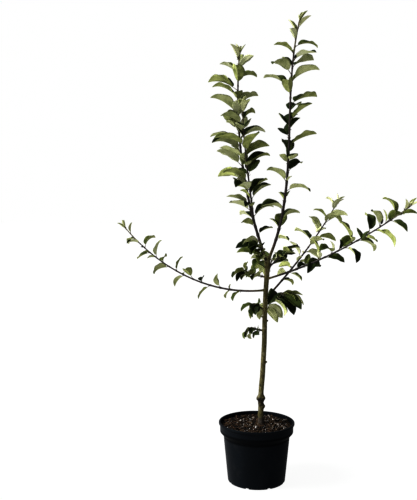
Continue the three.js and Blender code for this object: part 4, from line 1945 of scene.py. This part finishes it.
WOOD_FINISHES = {
    Wood.OLD: ShootFinish("shoot_old", (0.052, 0.038, 0.034), (0.026, 0.02, 0.019), (0.13, 0.105, 0.09)),
    Wood.RIPE: ShootFinish("shoot_ripe", (0.062, 0.042, 0.038), (0.032, 0.024, 0.023), (0.15, 0.12, 0.105)),
    Wood.GREEN: ShootFinish("shoot_green", (0.2, 0.18, 0.1), (0.11, 0.092, 0.06), (0.3, 0.28, 0.2)),
    Wood.STALK: ShootFinish("leaf_stalk", (0.16, 0.14, 0.082), (0.092, 0.074, 0.056), (0.22, 0.2, 0.13)),
    Wood.BUD: ShootFinish("bud", (0.09, 0.07, 0.052), (0.05, 0.04, 0.034), (0.16, 0.13, 0.11)),
    Wood.STIPULE: ShootFinish("stipule", (0.12, 0.12, 0.062), (0.07, 0.07, 0.038), (0.16, 0.16, 0.09)),
}

LEAF_FINISHES = {
    Side.DEEP: LeafFinish("leaf_deep", (0.032, 0.049, 0.015), (0.012, 0.019, 0.008), 0.5, 0.08),
    Side.MIDDLE: LeafFinish("leaf_middle", (0.083, 0.111, 0.032), (0.034, 0.049, 0.016), 0.5, 0.1),
    Side.BRIGHT: LeafFinish("leaf_bright", (0.197, 0.23, 0.077), (0.108, 0.136, 0.047), 0.5, 0.12),
    Side.SAGE: LeafFinish("leaf_sage", (0.639, 0.667, 0.376), (0.423, 0.461, 0.226), 0.7, 0.2),
    Side.OLIVE: LeafFinish("leaf_olive", (0.517, 0.555, 0.244), (0.31, 0.348, 0.132), 0.7, 0.2),
    Side.PALE: LeafFinish("leaf_pale", (0.79, 0.808, 0.545), (0.62, 0.658, 0.376), 0.7, 0.2),
    Side.RIB_ABOVE: LeafFinish("leaf_rib_above", (0.132, 0.156, 0.056), (0.094, 0.117, 0.047), 0.5, 0.12),
    Side.RIB_BELOW: LeafFinish("leaf_rib_below", (0.714, 0.714, 0.451), (0.583, 0.602, 0.357), 0.6, 0.2),
    Side.YOUNG_ABOVE: LeafFinish(
        "leaf_young_above", (0.357, 0.385, 0.179), (0.235, 0.263, 0.122), 0.55, 0.15
    ),
    Side.YOUNG_BELOW: LeafFinish("leaf_young_below", (0.714, 0.724, 0.451), (0.564, 0.583, 0.32), 0.7, 0.2),
}


@dataclass(frozen=True)
class Blade:
    """The fine shape of a leaf's blade, in shares of its length unless it says metres."""

    rows: int = 44
    places: tuple[float, ...] = (-1, -0.76, -0.5, -0.24, -0.035, 0.035, 0.24, 0.5, 0.76, 1)
    rib: float = 0.035
    widest: float = 0.43
    fullness: float = 0.66
    slimming: float = 0.95
    point_from: float = 0.84
    point_narrow: float = 0.3
    tooth: float = 0.026
    tooth_from: float = 0.1
    tooth_lean: float = 0.35
    young_width: float = 0.3
    flattening: float = 0.3
    veins: int = 8
    vein_lean: float = 1.1
    quilting: float = 0.006
    wave: float = 0.026
    waves: Pair = (1.3, 2.6)
    hook: float = 34
    hook_range: Pair = (-0.2, 1)
    twist: float = 16
    skin: float = 0.00035
    rib_height: float = 0.0009
    rib_fade: float = 0.8
    rib_sunk: float = 0.0002
    stalk_radius: float = 0.0009
    tip_radius: float = 0.00025

    def half_width(self, share: np.ndarray) -> np.ndarray:
        """Works out half the blade's width at places along it.

        Args:
            share: The places, as shares of the blade's length.

        Returns:
            Half the width at each, as a share of the blade's length.
        """
        power = math.log(0.5) / math.log(self.widest)
        width = np.sin(np.pi * np.clip(share, 0, 1) ** power).clip(0) ** self.fullness
        ending = np.clip((share - self.point_from) / (1 - self.point_from), 0, 1)
        return self.slimming * RULE.width / 2 * width * (1 - self.point_narrow * ending)

    def bent(self, leaf: Leaf, rng: np.random.Generator) -> tuple[np.ndarray, ...]:
        """Bends the midrib over, and twists the blade about it.

        Args:
            leaf: The leaf of the growth rule.
            rng: Generator of what varies from leaf to leaf.

        Returns:
            The midrib's points, and at each the directions along, across and out of the blade.
        """
        share = np.linspace(0, 1, self.rows + 1)[:, None]
        hook = math.radians(self.hook) * rng.uniform(*self.hook_range) * (1 - leaf.youth)
        twist = math.radians(self.twist) * rng.uniform(-1, 1)
        bends = leaf.arch * share + hook * share**3
        middles = (bends[1:] + bends[:-1]) / 2
        moves = np.cos(middles) * leaf.along - np.sin(middles) * leaf.normal
        spine = leaf.base + np.vstack([np.zeros(3), np.cumsum(moves * leaf.length / self.rows, axis=0)])
        along = np.cos(bends) * leaf.along - np.sin(bends) * leaf.normal
        normals = np.cos(bends) * leaf.normal + np.sin(bends) * leaf.along
        across = np.cos(twist * share) * leaf.across + np.sin(twist * share) * normals
        normals = np.cos(twist * share) * normals - np.sin(twist * share) * leaf.across
        return spine, along, across, normals

    def rings(self, leaf: Leaf, rng: np.random.Generator) -> np.ndarray:
        """Corners of the blade's closed skin.

        Args:
            leaf: The leaf of the growth rule.
            rng: Generator of what varies from leaf to leaf.

        Returns:
            Corners by row along the blade and by place round it: first above, then back below.
        """
        spine, along, across, normals = self.bent(leaf, rng)
        grown = 1 - leaf.youth
        share = np.linspace(0, 1, self.rows + 1)[:, None]
        odd = np.arange(self.rows + 1)[:, None] % 2
        place = np.array(self.places)[None, :]
        out = np.abs(place)
        at_rib = out <= self.rib

        least = np.linspace(self.stalk_radius, self.tip_radius, self.rows + 1)[:, None]
        width = leaf.length * (1 - self.young_width * leaf.youth)
        half = np.maximum(self.half_width(share) * width, least)
        edge = (out == 1) * (share > self.tooth_from)
        sideways = place * half * (1 + self.tooth * grown * edge * np.where(odd, 1, -1))
        fold = leaf.fold * (1 - self.flattening * out)

        full = leaf.length * np.minimum(half / (0.5 * RULE.width * leaf.length), 1)
        phase = share * self.veins - np.abs(sideways) / leaf.length * self.vein_lean * self.veins
        quilts = 4 * out * (1 - out) * (0.5 - 0.5 * np.cos(2 * np.pi * phase))
        height = np.abs(sideways) * np.sin(fold) + self.quilting * full * quilts
        for side in (-1, 1):
            turn, speed = rng.uniform(0, 2 * np.pi), rng.uniform(*self.waves)
            ripple = np.sin(2 * np.pi * speed * share + turn)
            height = height + (place * side > 0) * self.wave * full * grown * place**2 * ripple

        above = (
            spine[:, None]
            + across[:, None] * (sideways * np.cos(fold))[..., None]
            + normals[:, None] * height[..., None]
        )
        lean = edge * odd * self.tooth_lean * leaf.length / self.rows * grown
        above = above + lean[..., None] * along[:, None]
        thickness = self.skin + at_rib * self.rib_height * (1 - self.rib_fade * share)
        below = above - normals[:, None] * thickness[..., None]
        above = above - normals[:, None] * (at_rib * self.rib_sunk)[..., None]
        return np.concatenate([above, below[:, -2:0:-1]], axis=1)

    def slots(self, above: int, below: int) -> list[int]:
        """The material slot at each place round the blade.

        Args:
            above: Slot of the upper side.
            below: Slot of the underside.

        Returns:
            One slot for each face of a row.
        """
        stretches = len(self.places) - 1
        top = [above] * stretches
        under = [below] * stretches
        if above != Side.YOUNG_ABOVE:
            top[stretches // 2] = Side.RIB_ABOVE
        under[stretches // 2] = Side.RIB_BELOW
        return [int(slot) for slot in (*top, *under)]


@dataclass
class Mass:
    """One mass of foliage: its twigs with buds and leaf stalks, and its leaves."""

    name: str
    members: tuple[str, ...]
    crown: Crown
    blade: Blade = Blade()
    ring_step: float = 0.006
    least_rings: int = 6
    bark_fullness: float = 1.1
    stem_sides: int = 8
    stem_overlap: float = 0.012
    spur_start: float = 0.004
    stem_end: float = 0.4
    wood_ends: Pair = (0.5, 0.86)
    node_swell: float = 0.32
    node_width: float = 0.0028
    stalk_sides: int = 6
    stalk_steps: int = 7
    stalk_bow: Pair = (0.45, 0.1)
    stalk_overlap: float = 0.002
    stalk_radii: Pair = (0.0013, 0.00075)
    stalk_foot: float = 1.5
    stalk_least: float = 0.55
    full_leaf: float = 0.07
    spike_sides: int = 5
    spike_shape: tuple[float, ...] = (0.75, 1, 0.95, 0.7, 0.4, 0.1)
    bud_length: Pair = (0.00448, 0.00728)
    bud_radius: float = 0.0016
    bud_place: Pair = (0.5, 0.0022)
    bud_lean: float = 0.45
    stipules: float = 0.6
    stipule_length: Pair = (0.007, 0.012)
    stipule_radius: float = 0.0011
    stipule_rise: Pair = (0.2, 0.9)
    stipule_lean: float = 0.4
    second_share: float = 0.4
    second_step: float = 0.002
    second_turn: Pair = (0.6, 1.5)
    second_size: Pair = (0.35, 0.62)
    second_youth: float = 0.25
    tip_leaves: int = 4
    tip_reach: float = 0.012
    tip_size: Pair = (0.016, 0.034)
    young_from: float = 0.3
    shares_above: Triple = (0.45, 0.4, 0.15)
    shares_below: Triple = (0.35, 0.45, 0.2)
    twigs: Pile = field(default_factory=Pile)
    leaves: Pile = field(default_factory=Pile)

    def __post_init__(self) -> None:
        """Seeds what varies in this mass."""
        self.rng = np.random.default_rng(sum(map(ord, self.name)))

    def stem(self, shoot: Shoot, start: float, leaves: Sequence[Leaf]) -> None:
        """Adds a shoot's stem, which swells at each leaf and narrows at its end.

        Args:
            shoot: The shoot.
            start: Distance from its foot where the stem begins.
            leaves: Its leaves.
        """
        count = max(self.least_rings, round((shoot.length - start) / self.ring_step))
        places = np.linspace(start, shoot.length, count + 1)
        line = np.array([shoot.at(place)[0] for place in places])
        radii = self.bark_fullness * np.array([shoot.radius(place) for place in places])
        for leaf in leaves:
            radii *= 1 + self.node_swell * np.exp(-(((places - leaf.distance) / self.node_width) ** 2))
        radii[-1] *= self.stem_end
        share = (places[:-1] - start) / (shoot.length - start)
        old, ripe = self.wood_ends
        slots = np.where(share < old, Wood.OLD, np.where(share < ripe, Wood.RIPE, Wood.GREEN))
        self.twigs.tube(line, radii, self.stem_sides, slots)

    def stalk(self, leaf: Leaf) -> None:
        """Adds a leaf's stalk, which leaves the stem steeply and bends out to the blade.

        Args:
            leaf: The leaf.
        """
        reach = leaf.base - leaf.root
        ahead, up = self.stalk_bow
        steep = leaf.root + reach * ahead + UP * np.linalg.norm(reach) * up
        end = leaf.base + leaf.along * self.stalk_overlap
        t = np.linspace(0, 1, self.stalk_steps)[:, None]
        line = leaf.root * (1 - t) ** 2 + steep * 2 * t * (1 - t) + end * t**2
        size = self.stalk_least + (1 - self.stalk_least) * min(1, leaf.length / self.full_leaf)
        radii = np.linspace(*self.stalk_radii, self.stalk_steps) * size
        radii[0] *= self.stalk_foot
        self.twigs.tube(line, radii, self.stalk_sides, int(Wood.STALK))

    def spike(self, foot: np.ndarray, ahead: np.ndarray, length: float, radius: float, slot: Wood) -> None:
        """Adds a small pointed bud or stipule.

        Args:
            foot: Where it starts.
            ahead: Its direction.
            length: Its length.
            radius: Its radius at its widest.
            slot: Its finish.
        """
        line = foot + np.outer(np.linspace(0, length, len(self.spike_shape)), ahead)
        self.twigs.tube(line, radius * np.array(self.spike_shape), self.spike_sides, int(slot))

    def dress_node(self, leaf: Leaf, shoot: Shoot) -> None:
        """Adds the bud in a leaf's axil, and often a pair of stipules at its foot.

        Args:
            leaf: The leaf.
            shoot: Its shoot.
        """
        point, direction = shoot.at(leaf.distance)
        out, up = self.bud_place
        foot = point + leaf.out * shoot.radius(leaf.distance) * out + direction * up
        length = self.rng.uniform(*self.bud_length)
        self.spike(foot, unit(direction + self.bud_lean * leaf.out), length, self.bud_radius, Wood.BUD)
        if self.rng.random() < self.stipules:
            across = np.cross(direction, leaf.out)
            for side in (-1, 1):
                rise = direction * self.rng.uniform(*self.stipule_rise)
                ahead = unit(rise + side * across + self.stipule_lean * leaf.out)
                length = self.rng.uniform(*self.stipule_length)
                self.spike(point, ahead, length, self.stipule_radius, Wood.STIPULE)

    def small_leaves(self, member: str, leaves: Sequence[Leaf], neighbours: np.ndarray) -> list[Leaf]:
        """Small leaves beside some of the grown ones, and the bunch of young ones at a long shoot's tip.

        Args:
            member: The shoot.
            leaves: Its grown leaves.
            neighbours: Points of the leaves that the mass already has.

        Returns:
            The small leaves that keep to the mass's own space.
        """
        shoot = self.crown.shoots[member]
        rng = self.rng
        tried = []
        for leaf in leaves:
            if rng.random() < self.second_share and leaf.youth == 0:
                turn = leaf.turn + rng.choice((-1, 1)) * rng.uniform(*self.second_turn)
                length = leaf.length * rng.uniform(*self.second_size)
                distance = leaf.distance + self.second_step
                tried.append(Leaf(shoot, distance, turn, length, self.second_youth, rng.random))
        kept = [leaf for leaf in tried if self.crown.is_clear(member, leaf.samples(), neighbours)]
        if member not in SPURS:
            for _ in range(self.tip_leaves):
                distance = shoot.length - rng.uniform(0, self.tip_reach)
                turn = rng.uniform(0, 2 * math.pi)
                kept.append(Leaf(shoot, distance, turn, rng.uniform(*self.tip_size), 1, rng.random))
        return kept

    def leaf_slots(self, leaf: Leaf) -> list[int]:
        """Deals a leaf its two tones.

        Args:
            leaf: The leaf.

        Returns:
            One slot for each face of a row.
        """
        if leaf.youth > self.young_from:
            return self.blade.slots(Side.YOUNG_ABOVE, Side.YOUNG_BELOW)
        above = self.rng.choice([Side.DEEP, Side.MIDDLE, Side.BRIGHT], p=self.shares_above)
        below = self.rng.choice([Side.SAGE, Side.OLIVE, Side.PALE], p=self.shares_below)
        return self.blade.slots(above, below)

    def build(self, finisher: Finisher) -> int:
        """Makes the mass's twigs and leaves.

        Args:
            finisher: Gives them their finishes.

        Returns:
            The number of its leaves.
        """
        neighbours = np.zeros((0, 3))
        total = 0
        for member in self.members:
            shoot = self.crown.shoots[member]
            leaves, neighbours = self.crown.grow(member, neighbours)
            start = self.spur_start if member in SPURS else max(0.0, shoot.bare - self.stem_overlap)
            self.stem(shoot, start, leaves)
            for leaf in leaves:
                self.dress_node(leaf, shoot)
            every = [*leaves, *self.small_leaves(member, leaves, neighbours)]
            for leaf in every:
                self.stalk(leaf)
                self.leaves.skin(self.blade.rings(leaf, self.rng), self.leaf_slots(leaf))
            total += len(every)
        node = [f"{self.name}_foliage"]
        finisher.dress(self.twigs.piece(f"{self.name}_twigs"), WOOD_FINISHES.values(), node)
        finisher.dress(self.leaves.piece(f"{self.name}_leaves"), LEAF_FINISHES.values(), node)
        return total


# ----------------------------------------------------------------------------------------------------
# Studio
# ----------------------------------------------------------------------------------------------------


@dataclass(frozen=True)
class Studio:
    """A plain pale floor, soft light that comes mostly from the left, and the camera."""

    eye: Triple = (-0.166, -2.5, 0.96)
    pitch: float = 3.72
    lens: float = 53.06
    floor_size: float = 60
    floor_colour: Colour = (0.04, 0.04, 0.04)
    floor_glow: float = 0.955
    fill_left: float = 1.1
    fill_right: float = 0.3
    fill_end: float = 0.7  # share of the way to the right at which the fill light stops fading
    fill_below: float = 1.5
    fill_above: float = 0.7
    key: float = 4.2
    key_angle: float = 22
    key_direction: Triple = (-0.95, -0.22, 0.85)
    tone_gamma: float = 0.6  # below 1 it deepens the darks, as a camera's tone curve does

    def place_camera(self) -> None:
        """Sets the camera."""
        data = bpy.data.cameras.new("camera")
        data.lens = self.lens
        camera = bpy.data.objects.new("camera", data)
        camera.location = self.eye
        camera.rotation_euler = (math.radians(90 - self.pitch), 0, 0)
        bpy.context.scene.collection.objects.link(camera)
        bpy.context.scene.camera = camera

    def lay_floor(self) -> None:
        """Lays the floor, whose own glow keeps it evenly pale."""
        shape = bmesh.new()
        bmesh.ops.create_grid(shape, x_segments=1, y_segments=1, size=self.floor_size / 2)
        floor = piece_from(mesh_from(shape), "floor")
        sheet = Sheet("floor", 0.9, 0.1)
        glow = {"Emission Color": WHITE, "Emission Strength": self.floor_glow}
        sheet.feed(sheet.surface, {"Base Color": (*self.floor_colour, 1), **glow})
        floor.data.materials.append(sheet.material)
        floor.visible_diffuse = False
        floor.visible_glossy = False
        floor.visible_shadow = False

    def fill_strength(self, world: Nodes) -> Socket:
        """Fades the fill light to the right and upwards.

        Args:
            world: The world's nodes.

        Returns:
            The light's strength.
        """
        inputs = {0: world.add("TexCoord", {}).outputs["Generated"]}
        axes = world.add("SeparateXYZ", inputs).outputs
        fades = (
            ("X", self.fill_left, self.fill_right, self.fill_end),
            ("Z", self.fill_below, self.fill_above, 1),
        )
        strengths = {}
        for number, (axis, start, end, last) in enumerate(fades):
            inputs = {"Value": axes[axis], "From Min": -1, "From Max": last, "To Min": start, "To Max": end}
            strengths[number] = world.add("MapRange", inputs).outputs["Result"]
        return world.add("Math", strengths, operation="MULTIPLY").outputs[0]

    def light(self) -> None:
        """Sets the fill light behind a white backdrop, one wide soft key light and the tone curve."""
        scene = bpy.context.scene
        scene.world = bpy.data.worlds.new("studio")
        scene.world.use_nodes = True
        world = Nodes(scene.world.node_tree)
        fill = world.tree.nodes["Background"]
        world.feed(fill, {"Color": WHITE, "Strength": self.fill_strength(world)})
        seen = world.add("LightPath", {}).outputs["Is Camera Ray"]
        backdrop = world.add("Background", {"Color": WHITE})
        choice = world.add("MixShader", {0: seen, 1: fill.outputs[0], 2: backdrop.outputs[0]})
        world.feed(world.tree.nodes["World Output"], {"Surface": choice.outputs[0]})
        data = bpy.data.lights.new("key", "SUN")
        data.energy = self.key
        data.angle = math.radians(self.key_angle)
        key = bpy.data.objects.new("key", data)
        key.rotation_euler = Vector(self.key_direction).to_track_quat("Z", "Y").to_euler()
        scene.collection.objects.link(key)
        scene.view_settings.view_transform = "Standard"
        scene.view_settings.gamma = self.tone_gamma

    def build(self) -> None:
        """Makes the studio."""
        self.place_camera()
        self.lay_floor()
        self.light()


def main() -> None:
    """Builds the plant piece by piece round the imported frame."""
    logging.basicConfig(level=logging.INFO, format="%(message)s")
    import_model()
    finisher = Finisher()
    trunk = Trunk()
    shoots = make_shoots(trunk)
    crown = Crown(trunk, shoots)
    NurseryPot().build(finisher)
    Compost().build(finisher)
    Bark(trunk, shoots).build(finisher)
    leaves = 0
    for name, members in MASSES.items():
        leaves += Mass(name, members, crown).build(finisher)
    LOG.info("leaves: %d", leaves)
    Studio().build()


if __name__ == "__main__":
    main()
